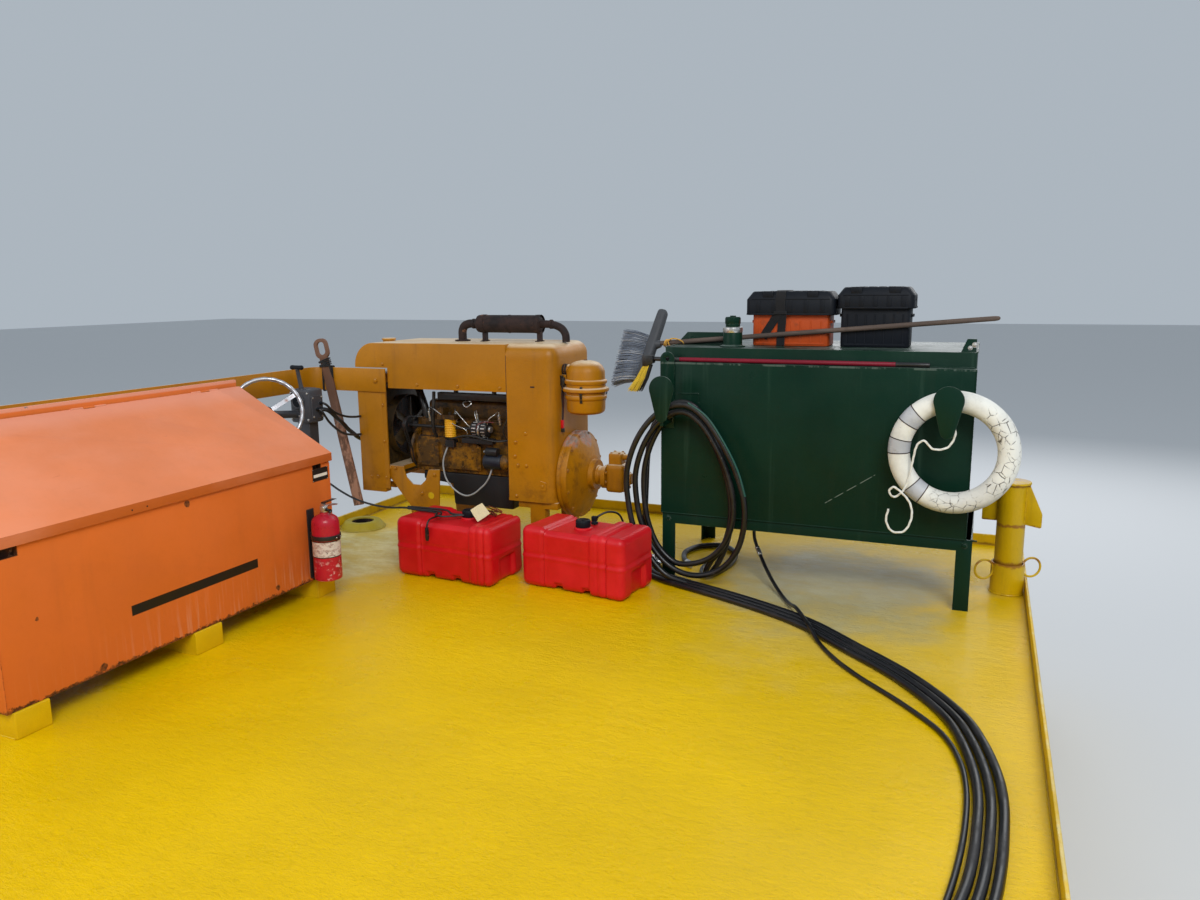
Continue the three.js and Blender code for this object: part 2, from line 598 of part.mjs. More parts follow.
// Green tank with a front shelf on an angle stand, with its filler neck and hooks.
{
  const t = TANK;
  const side = [
    [t.near, t.low], [t.far, t.low], [t.far, t.top], [t.near + t.ledge, t.top], [t.near + t.ledge, t.shelf],
    [t.near, t.shelf],
  ];
  const lug = [
    [280, t.top - 10], [590, t.top - 10], [590, t.top + 30], [540, t.top + 72], [320, t.top + 72],
    [280, t.top + 30],
  ];
  const corner = [[1800, t.top - 10], [1874, t.top - 10], [1874, t.top + 64], [1830, t.top + 64]];
  const body = join(
    prismX(side, t.x0, t.x1),
    prismY(lug, LUG_Y, LUG_Y + 10),
    prismY(corner, 3330, 3340),
  );
  add('green_tank', body, 'green');

  const legs = [];
  for (const [x, flip] of [[t.x0 + 4, 1], [t.x1 + 34, -1]]) {
    for (const [y, way] of [[t.near + 6, 1], [t.far - 6, -1]]) {
      const [xa, xb] = [x, x + flip * 75].sort((a, b) => a - b);
      const [ya, yb] = [y, y + way * 8].sort((a, b) => a - b);
      const [yc, yd] = [y, y + way * 75].sort((a, b) => a - b);
      const [xc, xd] = [x, x + flip * 8].sort((a, b) => a - b);
      legs.push(box(xa, xb, ya, yb, GAP, t.low - 30), box(xc, xd, yc, yd, GAP, t.low - 30));
    }
  }
  const beams = [
    box(t.x0 + 4, t.x1 + 34, t.near + 6, t.near + 14, t.low - 60, t.low - GAP),
    box(t.x0 + 4, t.x1 + 34, t.far - 14, t.far - 6, t.low - 60, t.low - GAP),
    box(t.x0 + 4, t.x0 + 12, t.near + 6, t.far - 6, t.low - 60, t.low - GAP),
    box(t.x1 + 26, t.x1 + 34, t.near + 6, t.far - 6, t.low - 60, t.low - GAP),
  ];
  add('tank_stand', join(...legs, ...beams), 'green');

  const neck = turned([
    [0, t.top + GAP], [70, t.top + GAP], [70, t.top + 8], [53, t.top + 10], [53, t.top + 108],
    [40, t.top + 110], [40, t.top + 130], [44, t.top + 134], [44, t.top + 160], [0, t.top + 172],
  ]);
  add('filler_neck', neck.translate(622, 3410, 0), 'green');

  const hooks = [
    { name: 'hook_port', x: 326, z: 1045, front: 3064, arm: 915.5, pad: [-64, 18, -50, 374] },
    { name: 'hook_starboard', x: 1770, z: 1040, front: 3050, arm: 1013.5, pad: [-34, 34, -50, 110] },
  ];
  for (const hook of hooks) {
    const drop = [];
    for (let i = 0; i <= 10; i += 1) {
      const a = THREE.MathUtils.degToRad(-20 + (220 * i) / 10);
      drop.push([hook.x + 70 * Math.cos(a), hook.z + 56 + 70 * Math.sin(a)]);
    }
    for (const [side, below] of [[-30, 110], [-10, 126], [10, 126], [30, 110]]) {
      drop.push([hook.x + side, hook.z - below]);
    }
    const arm = box(hook.x - 9, hook.x + 9, hook.front, t.near - GAP, hook.arm - 18, hook.arm + 18);
    const [left, right, low, high] = hook.pad;
    const pad = box(hook.x + left, hook.x + right, t.near - 8, t.near - GAP, hook.arm + low, hook.arm + high);
    add(hook.name, join(prismY(drop, hook.front - 8, hook.front + 2), arm, pad), 'green');
  }
}

// Battery boxes on the tank: one strapped, one with a lid that lifts off.
const BATTERY_Y = 3640;
const BATTERY_BOXES = [
  { side: 'port', x: 911, width: 422, lidWidth: 490, paint: 'battery', h: 190, top: 300 },
  { side: 'starboard', x: 1362, width: 357, lidWidth: 396, paint: 'black', h: 226, top: 320 },
];
for (const b of BATTERY_BOXES) {
  const z = TANK.top + GAP;
  const y = BATTERY_Y;
  const around = (half, halfY, z0, z1, corner, edge) => (
    softBlock(b.x - half, b.x + half, y - halfY, y + halfY, z0, z1, corner, edge, 2)
  );
  const shell = around(b.width / 2, 100, z, z + b.h, 24, 6);
  const well = around(b.width / 2 - 6, 94, z + 6, z + b.h + 30, 18, 2);
  add(`battery_box_${b.side}`, cut(shell, well), b.paint);
  const low = z + b.h - 20;
  const lid = around(b.lidWidth / 2, 122, low, z + b.top, 34, 18);
  const under = around(b.width / 2 + 5, 106, low - 30, z + b.h + GAP, 26, 2);
  add(`battery_lid_${b.side}`, cut(lid, under), 'black');
}

// Push broom tied across the tank, and a deck broom lying on the tank's shelf.
{
  const b = BROOM;
  const handle = rod([b.endX, b.y, b.endZ], [b.farX, b.y, b.farZ], b.radius, 12);
  const block = box(-26, 26, -30, 30, -b.head, b.head);
  const bush = prismY([[-20, -230], [-20, 110], [-178, 150], [-178, -262]], -24, 24);
  const head = join(block, bush).rotate([-32, 0, 0]).rotate([0, 8, 0]).translate([b.endX, b.y, b.endZ]);
  add('push_broom', join(handle, head), 'grey');

  const z = TANK.shelf + 13 + GAP;
  const pole = rod([200, 3262, z], [1545, 3262, z], 12.5, 12);
  const brush = prismY([[0, 20], [60, 20], [60, -20], [30, -40], [0, -40]], 3240, 3284).translate(150, 0, z);
  const tuft = prismY([[-70, -190], [-20, -200], [56, -30], [4, -30]], 3244, 3280);
  add('deck_broom', join(pole, brush, tuft.translate(150, 0, z)), 'red');
}

{
  const r = LIFE_RING;
  const ring = new THREE.TorusGeometry(r.radius, r.tube, 12, 32).rotateX(Math.PI / 2);
  add('life_ring', ring.translate(r.x, r.y, r.z), 'white');
}

// Hose coil on the port hook, and the hoses along the deck to their manifold.
{
  const c = COIL;
  const outer = [];
  const inner = [];
  for (let i = 0; i < 28; i += 1) {
    const a = (2 * Math.PI * i) / 28;
    outer.push([c.x + (c.halfWidth + c.tube) * Math.cos(a), c.z + (c.halfHeight + c.tube) * Math.sin(a)]);
    inner.push([c.x + (c.halfWidth - c.tube) * Math.cos(a), c.z + (c.halfHeight - c.tube) * Math.sin(a)]);
  }
  add('hose_coil', prismY(outer, c.y - c.tube, c.y + c.tube, [inner]), 'hose');
}

const HOSE_ROUTE = [
  [467, 3080], [700, 2990], [963, 2870], [1192, 2732], [1458, 2489], [1640, 2320], [1780, 2150],
  [1898, 1960], [1975, 1712], [2012, 1470], [2012, 1226], [1996, 986], [1972, 800], [1945, 600],
  [1930, 372],
];
const HOSES = [
  { name: 'deck_hose_port', shift: HOSE.side, port: 1872 },
  { name: 'deck_hose_middle', shift: 0, port: 1932 },
  { name: 'deck_hose_starboard', shift: -HOSE.side, port: 1992 },
];
const THIN_ROUTE = [
  [800, 3400, 150], [843, 3342, 100], [930, 3200, 44], [1020, 3050, 16], [1072, 2950, 24], [1110, 2870, 44],
  [1150, 2790, 46], [1188, 2710, 45], [1222, 2640, 42], [1250, 2590, 26], [1285, 2530, 12], [1375, 2380, 11],
  [1491, 2234, 11], [1706, 2014, 11], [1850, 1830, 11], [1915, 1650, 11], [1940, 1470, 11], [1940, 1226, 11],
  [1920, 986, 11], [1892, 800, 12], [1850, 600, 24], [1812, 460, 48], [1808, 376, 54],
];
for (const hose of HOSES) {
  const along = HOSE_ROUTE.map(([x, y]) => new THREE.Vector3(x, y, 0));
  const centre = new THREE.CatmullRomCurve3(along, false, 'centripetal');
  const points = [];
  for (let i = 0; i <= 22; i += 1) {
    const p = centre.getPointAt(i / 24);
    const t = centre.getTangentAt(i / 24);
    const ease = Math.max(0, (i / 24 - 0.8) / 0.2) ** 2;
    const x = (p.x + t.y * hose.shift) * (1 - ease) + hose.port * ease;
    const lift = (MANIFOLD.portZ - HOSE.radius - GAP) * ease;
    points.push([x, p.y - t.x * hose.shift * (1 - ease), HOSE.radius + GAP + lift]);
  }
  points.push([hose.port, MANIFOLD.y + 64, MANIFOLD.portZ], [hose.port, MANIFOLD.y + 44, MANIFOLD.portZ]);
  add(hose.name, tube(points, HOSE.radius, 8, 46), 'hose');
}
add('thin_hose', tube(THIN_ROUTE, THIN_HOSE_RADIUS, 8, 56), 'hose');

{
  const m = MANIFOLD;
  const block = softBlock(m.x - m.width / 2, m.x + m.width / 2, m.y - m.depth, m.y, GAP, m.height, 14, 6, 2);
  const plate = box(m.x - m.width / 2 - 30, m.x + m.width / 2 + 30, m.y - m.depth - 20, m.y + 10, GAP, 10);
  const ports = [1808, 1872, 1932, 1992].map((x) => (
    rod([x, m.y - 10, m.portZ], [x, m.y + 42, m.portZ], 22, 12)
  ));
  add('hose_manifold', join(block, plate, ...ports), 'steel');
}

// Thin line looped round the life ring.
const ROPE_ROUTE = [
  [1792, 3112, 1036.2], [1794, 3108, 1018], [1800, 3090, 975], [1806, 3068, 930], [1776, 3060, 872],
  [1712, 3046, 862], [1668, 3046, 900], [1640, 3050, 880], [1622, 3056, 800], [1606, 3054, 700],
  [1580, 3050, 640], [1542, 3046, 612], [1520, 3040, 640], [1540, 3034, 664], [1580, 3028, 640],
  [1622, 3022, 590], [1632, 3016, 520], [1600, 3010, 452], [1546, 3006, 448], [1516, 3002, 500],
  [1524, 2998, 560],
];
add('ring_line', tube(ROPE_ROUTE, 5, 8, 46), 'white');

// Control cables from the helm to the engine's front, and the fuel hose of the starboard tank.
const CABLE_ROUTE = [
  [-1929, 2990, 900], [-1912, 2990.4, 900], [-1892, 3030, 888], [-1882, 3150, 790], [-1890, 3260, 706],
  [-1898, 3380, 640], [-1900, 3480, 600], [-1892, 3560, 580], [-1870, 3592.6, 576], [-1852, 3593, 576],
];
add('control_cables', tube(CABLE_ROUTE, 13, 8, 24), 'hose');
const FUEL_ROUTE = [
  [-36, 3006, 372], [10, 3040, 396], [56, 3110, 372], [74, 3170, 250], [66, 3220, 110], [20, 3270, 28],
  [-80, 3310, 8], [-220, 3330, 7], [-360, 3342, 7], [-470, 3348, 7], [-519, 3350, 7],
];
add('fuel_hose', tube(FUEL_ROUTE, 6, 8, 32), 'hose');

// Jumper cable from the helm post over the port fuel tank, with its clamp hanging at the tank's edge.
const JUMPER_ROUTE = [
  [-1964.7, 2975, 452], [-1940, 2974.6, 451], [-1880, 2970, 436], [-1780, 2955, 396], [-1640, 2932, 356],
  [-1480, 2905, 338], [-1340, 2882, 340], [-1240, 2868, 352], [-1170, 2861, 355.5], [-1100, 2860, 354.5],
  [-1030, 2862, 354.5], [-970, 2850, 354.5], [-935, 2812, 354.5], [-926, 2765, 355], [-928, 2722, 355.5],
  [-929, 2696, 355.5], [-930, 2676.5, 351], [-931, 2662, 338], [-932, 2656, 322], [-932, 2654, 306],
];
const clamp = box(-940, -924, 2646, 2662, 236, 314);
add('jumper_cable', join(tube(JUMPER_ROUTE, 5.5, 8, 60), clamp), 'hose');

export default barge;
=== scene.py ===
"""The river barge's looks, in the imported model's frame: cords, detailed pieces and procedural materials."""

import json
import random
from math import copysign, cos, pi, radians, sin

import bmesh
import bpy
from mathutils import Matrix, Vector

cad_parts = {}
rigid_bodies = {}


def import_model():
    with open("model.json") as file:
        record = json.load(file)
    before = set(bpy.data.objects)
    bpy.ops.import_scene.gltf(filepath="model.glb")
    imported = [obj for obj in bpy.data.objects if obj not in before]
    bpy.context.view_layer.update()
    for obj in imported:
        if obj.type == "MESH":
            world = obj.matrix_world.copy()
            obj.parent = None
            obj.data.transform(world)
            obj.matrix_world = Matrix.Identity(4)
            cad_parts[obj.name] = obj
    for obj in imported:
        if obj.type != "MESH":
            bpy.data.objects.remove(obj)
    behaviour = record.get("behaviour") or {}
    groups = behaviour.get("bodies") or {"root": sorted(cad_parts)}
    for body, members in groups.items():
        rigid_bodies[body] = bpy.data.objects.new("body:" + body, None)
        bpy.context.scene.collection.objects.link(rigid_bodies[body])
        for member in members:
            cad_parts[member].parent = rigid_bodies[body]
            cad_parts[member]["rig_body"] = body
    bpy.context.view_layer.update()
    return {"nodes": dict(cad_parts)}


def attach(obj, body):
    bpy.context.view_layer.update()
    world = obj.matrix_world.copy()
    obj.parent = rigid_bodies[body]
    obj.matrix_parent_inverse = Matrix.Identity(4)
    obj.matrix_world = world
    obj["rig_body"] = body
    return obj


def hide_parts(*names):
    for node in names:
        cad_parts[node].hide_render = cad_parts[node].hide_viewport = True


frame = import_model()
nodes = frame["nodes"]
rng = random.Random(7)

# Heights above the flat bottom, which is at 0. The deck is the zero of every piece that Kit makes.
DECK = 1.22
WATERLINE = 0.35
LIFT = Vector((0, 0, DECK))
# The gap that keeps a piece clear of what it stands on.
GAP = 0.0003
ACROSS, FORE, AFT, UP, DOWN = (1, 0, 0), (0, 1, 0), (0, -1, 0), (0, 0, 1), (0, 0, -1)
# The camera, as fitted to the photograph.
HEADING, PITCH, ROLL = 23.091, -10.342, -0.541
CAMERA_AT = (1.9, -1.478, 2.866)
FOCAL_PIXELS, PHOTO_WIDTH, SENSOR = 896.1, 1200, 36


def rad(*degrees):
    found = [radians(d) for d in degrees]
    return found if len(found) > 1 else found[0]


def mm(table):
    """Points in metres from a table in millimetres, "x y z, x y z"."""
    return [tuple(float(v) / 1000 for v in point.split()) for point in table.split(",")]


def turned(at, *turns):
    """A place at a point, turned by (degrees, axis) pairs."""
    place = Matrix.Translation(at)
    for degrees, axis in turns:
        place = place @ Matrix.Rotation(rad(degrees), 4, axis)
    return place


def make_camera():
    heading, pitch, roll = rad(HEADING, PITCH, ROLL)
    ahead = Vector((-sin(heading) * cos(pitch), cos(heading) * cos(pitch), sin(pitch)))
    level = Vector((cos(heading), sin(heading), 0))
    above = level.cross(ahead)
    right = level * cos(roll) + above * sin(roll)
    up = above * cos(roll) - level * sin(roll)
    data = bpy.data.cameras.new("photo_camera")
    data.sensor_width = SENSOR
    data.lens = SENSOR * FOCAL_PIXELS / PHOTO_WIDTH
    data.clip_start, data.clip_end = 0.05, 200
    camera = bpy.data.objects.new("photo_camera", data)
    turn = Matrix((right, up, -ahead)).transposed()
    camera.matrix_world = Matrix.Translation(CAMERA_AT) @ turn.to_4x4()
    bpy.context.scene.collection.objects.link(camera)
    bpy.context.scene.camera = camera


make_camera()


class Shader:
    """A node material, built up from small procedural steps."""

    def __init__(self, name, **sockets):
        self.material = bpy.data.materials.new(name)
        self.material.use_nodes = True
        self.tree = self.material.node_tree
        self.out = self.tree.nodes["Principled BSDF"]
        for key, value in sockets.items():
            self.out.inputs[key.replace("_", " ").title().replace("Ior", "IOR")].default_value = value
        self.coords = self.node("TexCoord").outputs["Object"]
        self.normal = None

    def node(self, kind, inputs=(), **options):
        made = self.tree.nodes.new("ShaderNode" + kind)
        for key, value in options.items():
            setattr(made, key, value)
        for key, value in dict(inputs).items():
            self.feed(made.inputs[key], value)
        return made

    def feed(self, socket, value):
        if isinstance(value, bpy.types.NodeSocket):
            self.tree.links.new(value, socket)
        elif hasattr(value, "__len__") and len(value) == 3 and socket.type == "RGBA":
            socket.default_value = (*value, 1)
        else:
            socket.default_value = value

    def stretched(self, scale=(1, 1, 1), turn=(0, 0, 0), move=(0, 0, 0)):
        made = self.node("Mapping",
                         {"Vector": self.coords, "Scale": scale, "Rotation": turn, "Location": move})
        return made.outputs["Vector"]

    def noise(self, scale, detail=4, rough=0.55, at=None, warp=0.0):
        made = self.node("TexNoise",
                         {"Vector": at or self.coords, "Scale": scale, "Detail": detail, "Roughness": rough,
                          "Distortion": warp})
        return made.outputs["Fac"]

    def cells(self, scale, at=None, feature="F1"):
        made = self.node("TexVoronoi", {"Vector": at or self.coords, "Scale": scale}, feature=feature)
        return made.outputs["Distance"]

    def span(self, value, low, high, to_low=0.0, to_high=1.0):
        made = self.node("MapRange", {0: value, 1: low, 2: high, 3: to_low, 4: to_high}, clamp=True,
                         interpolation_type="SMOOTHSTEP")
        return made.outputs[0]

    def math(self, kind, a, b=0.0):
        return self.node("Math", {0: a, 1: b}, operation=kind).outputs[0]

    def times(self, a, b):
        return self.math("MULTIPLY", a, b)

    def plus(self, a, b):
        return self.math("ADD", a, b)

    def minus(self, a, b):
        return self.math("SUBTRACT", a, b)

    def ragged(self, value, amount, *noise, **options):
        """The value, moved up and down by a noise."""
        return self.plus(value, self.times(self.minus(self.noise(*noise, **options), 0.5), amount))

    def mix(self, share, a, b):
        made = self.node("Mix", data_type="RGBA")
        for socket, value in ((made.inputs["Factor"], share), (made.inputs[6], a), (made.inputs[7], b)):
            self.feed(socket, value)
        return made.outputs[2]

    def axis(self, letter):
        made = self.node("SeparateXYZ", {0: self.coords})
        return made.outputs[letter.upper()]

    def axes(self):
        return [self.axis(letter) for letter in "xyz"]

    def facing(self, letter):
        made = self.node("SeparateXYZ", {0: self.node("NewGeometry").outputs["Normal"]})
        return made.outputs[letter.upper()]

    def edges(self, radius):
        """How near a sharp outer edge is, from 0 to 1."""
        soft = self.node("Bevel", {"Radius": radius}, samples=6).outputs[0]
        hard = self.node("NewGeometry").outputs["Normal"]
        same = self.node("VectorMath", {0: soft, 1: hard}, operation="DOT_PRODUCT").outputs["Value"]
        return self.span(self.minus(1.0, same), 0.02, 0.22)

    def window(self, value, low, high, soft=0.002):
        """1 between low and high."""
        rise = self.span(value, low - soft, low + soft)
        return self.times(rise, self.span(value, high - soft, high + soft, 1, 0))

    def blob(self, centre, radius, ragged=0.0, scale=9.0, soft=0.7):
        """1 inside a round spot with a ragged rim, in metres above the deck."""
        place = (centre[0], centre[1], centre[2] + DECK)
        away = self.node("VectorMath", {0: self.coords, 1: place}, operation="SUBTRACT").outputs[0]
        far = self.node("VectorMath", {0: away}, operation="LENGTH").outputs["Value"]
        if ragged:
            far = self.ragged(far, ragged, scale, 6, 0.7)
        return self.span(far, radius * soft, radius, 1, 0)

    def both(self, *shares):
        found = shares[0]
        for one in shares[1:]:
            found = self.times(found, one)
        return found

    def any(self, *shares):
        found = shares[0]
        for one in shares[1:]:
            found = self.math("MAXIMUM", found, one)
        return found

    def bump(self, height, depth, strength=1.0):
        made = self.node("Bump", {"Height": height, "Distance": depth, "Strength": strength})
        if self.normal:
            self.feed(made.inputs["Normal"], self.normal)
        self.normal = made.outputs["Normal"]

    def done(self, color, roughness):
        self.feed(self.out.inputs["Base Color"], color)
        self.feed(self.out.inputs["Roughness"], roughness)
        if self.normal:
            self.feed(self.out.inputs["Normal"], self.normal)
        return self.material


def shade(color, times):
    return tuple(min(1.0, c * times) for c in color)


def srgb(r, g, b):
    """Linear colour from 0-255 sRGB values."""
    found = []
    for value in (r, g, b):
        v = value / 255
        found.append(v / 12.92 if v <= 0.04045 else ((v + 0.055) / 1.055) ** 2.4)
    return tuple(found)


RUST_DARK = srgb(62, 34, 20)
RUST_LIGHT = srgb(132, 72, 34)
GRIME = srgb(60, 52, 40)


def paint(name, base, rough=0.36, rust=0.5, wear=0.5, grime=0.4, peel=0.0006, chip=None, seed=0.0, spec=0.4,
          extra=None, contrast=1.0):
    """Painted metal: tone, streaks, chipped edges, rust spots and a lumpy coat."""
    s = Shader(name, Coat_roughness=0.15, Specular_IOR_level=spec)
    place = s.stretched(move=(seed, seed * 2, seed * 3))
    broad = s.noise(1.7, 5, 0.6, place)
    fine = s.noise(45, 5, 0.65, place)
    tone = s.mix(s.span(broad, 0.32, 0.7), shade(base, 1 - 0.16 * contrast), shade(base, 1 + 0.1 * contrast))
    tone = s.mix(s.span(fine, 0.5, 0.8, 0, 0.25 * contrast), tone, shade(base, 0.6))
    streak = s.noise(11, 5, 0.62, s.stretched((1, 1, 0.1), move=(seed, 0, 0)))
    tone = s.mix(s.span(streak, 0.52, 0.8, 0, grime), tone, GRIME)
    if extra:
        tone = extra(s, tone)
    chips = s.both(s.edges(0.004), s.span(s.noise(32, 6, 0.7, place), 0.5 - wear * 0.2, 0.62))
    tone = s.mix(chips, tone, chip or shade(RUST_LIGHT, 0.8))
    spots = s.span(s.noise(7, 9, 0.72, place), 0.76 - rust * 0.1, 0.8 - rust * 0.1)
    patina = s.mix(s.span(s.noise(60, 4, 0.6), 0.4, 0.6), RUST_DARK, RUST_LIGHT)
    tone = s.mix(spots, tone, patina)
    worn = s.any(spots, chips)
    dull = s.span(s.noise(4, 5, 0.6, place), 0.3, 0.7, rough * 0.8, min(1, rough * 1.35))
    s.bump(s.noise(160, 3, 0.5), peel)
    s.bump(s.noise(24, 4, 0.6), peel * 1.4)
    s.bump(s.both(worn, s.noise(90, 4, 0.7)), 0.0012)
    return s.done(tone, s.any(dull, s.times(worn, 0.85)))


def plastic(name, base, rough=0.45, scuff=0.4, grain=0.0004, faded=None, spec=0.5, dirt=0.35):
    s = Shader(name, Specular_IOR_level=spec)
    broad = s.noise(5, 5, 0.6)
    tone = s.mix(s.span(broad, 0.3, 0.75), shade(base, 0.88), faded or shade(base, 1.12))
    lines = s.noise(9, 6, 0.7, s.stretched((1, 1, 6), turn=(0.4, 0.7, 0.2)), 1.5)
    marks = s.span(lines, 0.62, 0.72, 0, scuff)
    tone = s.mix(marks, tone, shade(base, 1.9))
    film = s.span(s.noise(14, 7, 0.7), 0.56, 0.74, 0, dirt)
    tone = s.mix(film, tone, GRIME)
    s.bump(s.noise(420, 2, 0.5), grain)
    s.bump(s.noise(12, 4, 0.6), grain * 2)
    return s.done(tone, s.span(broad, 0.3, 0.7, rough * 0.85, min(1, rough * 1.25)))


def rubber(name, base, rough=0.5, dust=0.5):
    s = Shader(name)
    film = s.span(s.noise(6, 6, 0.7), 0.42, 0.72, 0, dust)
    tone = s.mix(film, base, srgb(96, 90, 84))
    tone = s.mix(s.span(s.noise(2.2, 4, 0.6), 0.5, 0.7, 0, 0.6), tone, shade(base, 0.5))
    scrape = s.span(s.noise(38, 5, 0.7, warp=1.2), 0.66, 0.72, 0, 0.6)
    tone = s.mix(scrape, tone, srgb(120, 112, 104))
    s.bump(s.noise(300, 3, 0.6), 0.0004)
    s.bump(s.noise(40, 4, 0.6), 0.0007)
    return s.done(tone, s.span(film, 0, dust or 1, rough * 0.8, min(1, rough * 1.5)))


def deck_paint():
    """Thick glossy yellow over brush marks and pits, worn pale under the tank and by the port corner, with a
    painted pale sheen round the front of the tank.
    """
    s = Shader("deck_yellow", Coat_weight=0.05, Coat_roughness=0.12, Specular_IOR_level=0.16)
    base = srgb(230, 188, 0)
    x, y, z = s.axes()
    broad = s.noise(0.9, 5, 0.6)
    tone = s.mix(s.span(broad, 0.3, 0.7), shade(base, 0.9), shade(base, 1.05))
    pits = s.noise(52, 6, 0.68, s.stretched((1, 1.7, 1), turn=(0, 0, 0.5)), 0.8)
    tone = s.mix(s.span(pits, 0.52, 0.74, 0, 0.42), tone, shade(base, 0.55))
    tone = s.mix(s.span(s.noise(3.4, 6, 0.65), 0.6, 0.8, 0, 0.2), tone, srgb(206, 172, 30))

    def patch(cx, cy, rx, ry, low=0.45, high=1.15):
        u = s.math("DIVIDE", s.minus(x, cx), rx)
        v = s.math("DIVIDE", s.minus(y, cy), ry)
        far = s.math("SQRT", s.plus(s.times(u, u), s.times(v, v)))
        far = s.ragged(far, 1.3, 2.8, 7, 0.68)
        return s.span(far, low, high, 1, 0)

    worn = s.any(patch(1.25, 3.45, 0.72, 0.85), patch(-1.75, 3.0, 0.62, 0.8),
                 s.times(patch(-0.9, 3.6, 1.1, 0.5), 0.4))
    film = s.noise(4.5, 7, 0.7, s.stretched((0.8, 1.3, 1)))
    grey = s.mix(s.span(film, 0.35, 0.65), srgb(120, 122, 112), srgb(172, 166, 132))
    port = s.span(x, -0.6, -1.3)
    grey = s.mix(port, grey, s.mix(s.span(film, 0.35, 0.65), srgb(196, 180, 112), srgb(230, 218, 158)))
    share = s.both(worn, s.span(film, 0.28, 0.62, 0.5, 0.95))
    tone = s.mix(share, tone, grey)
    # Painted sheen: a broad pale tint round the front of the tank, where the glossy deck would show the sky.
    tone = s.mix(s.times(patch(1.3, 3.0, 0.9, 1.2, 0.3, 1.0), 0.25), tone, srgb(222, 206, 140))
    specks = s.span(s.cells(5.5), 0.0, 0.012, 1, 0)
    specks = s.both(specks, s.span(s.noise(1.3, 3), 0.52, 0.58))
    tone = s.mix(specks, tone, RUST_DARK)
    spots = s.span(s.noise(9, 9, 0.74), 0.745, 0.775, 0, 0.8)
    tone = s.mix(spots, tone, RUST_LIGHT)
    for cx, cy, radius in ((-2.03, 3.482, 0.2), (2.098, 3.652, 0.14)):
        stain = s.blob((cx, cy, 0), radius, 0.12, 12, 0.5)
        tone = s.mix(s.times(stain, 0.55), tone, srgb(128, 104, 20))
    side = s.span(z, DECK - 0.03, DECK - 0.012, 1, 0)
    scuffs = s.noise(5, 7, 0.72, s.stretched((1, 0.5, 2.6)))
    drips = s.noise(9, 5, 0.6, s.stretched((1, 1, 0.07)))
    hull = s.mix(s.span(scuffs, 0.52, 0.62, 0, 0.8), shade(base, 0.8), srgb(120, 84, 40))
    hull = s.mix(s.span(drips, 0.54, 0.72, 0, 0.7), hull, RUST_LIGHT)
    hull = s.mix(s.span(scuffs, 0.64, 0.69), hull, RUST_DARK)
    wet = s.plus(z, s.times(s.noise(4, 5), 0.16))
    hull = s.mix(s.span(wet, WATERLINE + 0.1, WATERLINE + 0.24, 1, 0), hull, srgb(48, 52, 38))
    tone = s.mix(side, tone, hull)
    s.bump(pits, 0.0042, 0.9)
    s.bump(s.noise(9, 5, 0.6, s.stretched((1, 2.2, 1), turn=(0, 0, 0.35))), 0.009, 0.7)
    s.bump(s.noise(190, 3, 0.6), 0.0006)
    rough = s.span(s.noise(2.4, 5, 0.6), 0.3, 0.7, 0.24, 0.4)
    rough = s.plus(rough, s.times(side, 0.3))
    return s.done(tone, s.plus(rough, s.times(share, 0.12)))


def rusty(name, dark, light, patch, metallic=0.15, seed=0.0):
    s = Shader(name, Metallic=metallic, Specular_IOR_level=0.3)
    place = s.stretched(move=(seed, seed, seed))
    broad = s.noise(8, 7, 0.7, place)
    tone = s.mix(s.span(broad, 0.35, 0.65), dark, light)
    tone = s.mix(s.span(s.noise(40, 6, 0.7), 0.45, 0.7, 0, 0.6), tone, shade(dark, 1.3))
    tone = s.mix(s.span(s.noise(17, 5, 0.6, place), 0.62, 0.7), tone, patch)
    s.bump(s.noise(110, 6, 0.7), 0.0016)
    s.bump(broad, 0.002)
    return s.done(tone, s.span(broad, 0.3, 0.7, 0.6, 0.9))


def bare_metal(name, base, rough=0.3, metallic=0.9):
    s = Shader(name, Metallic=metallic)
    lines = s.noise(30, 4, 0.6, s.stretched((1, 1, 14)))
    tone = s.mix(s.span(lines, 0.3, 0.7), shade(base, 0.85), shade(base, 1.1))
    tone = s.mix(s.span(s.noise(14, 7, 0.72), 0.6, 0.72, 0, 0.8), tone, RUST_LIGHT)
    s.bump(lines, 0.0002)
    return s.done(tone, s.span(s.noise(9, 5), 0.3, 0.7, rough * 0.7, min(1, rough * 1.6)))


def fibre(name, base, scale=900, dirt=0.3):
    s = Shader(name, Sheen_weight=0.2, Specular_IOR_level=0.2)
    lay = s.noise(scale, 3, 0.6)
    tone = s.mix(s.span(lay, 0.3, 0.7), shade(base, 0.8), shade(base, 1.1))
    tone = s.mix(s.span(s.noise(12, 6, 0.7), 0.5, 0.72, 0, dirt), tone, GRIME)
    s.bump(lay, 0.0008)
    return s.done(tone, 0.85)


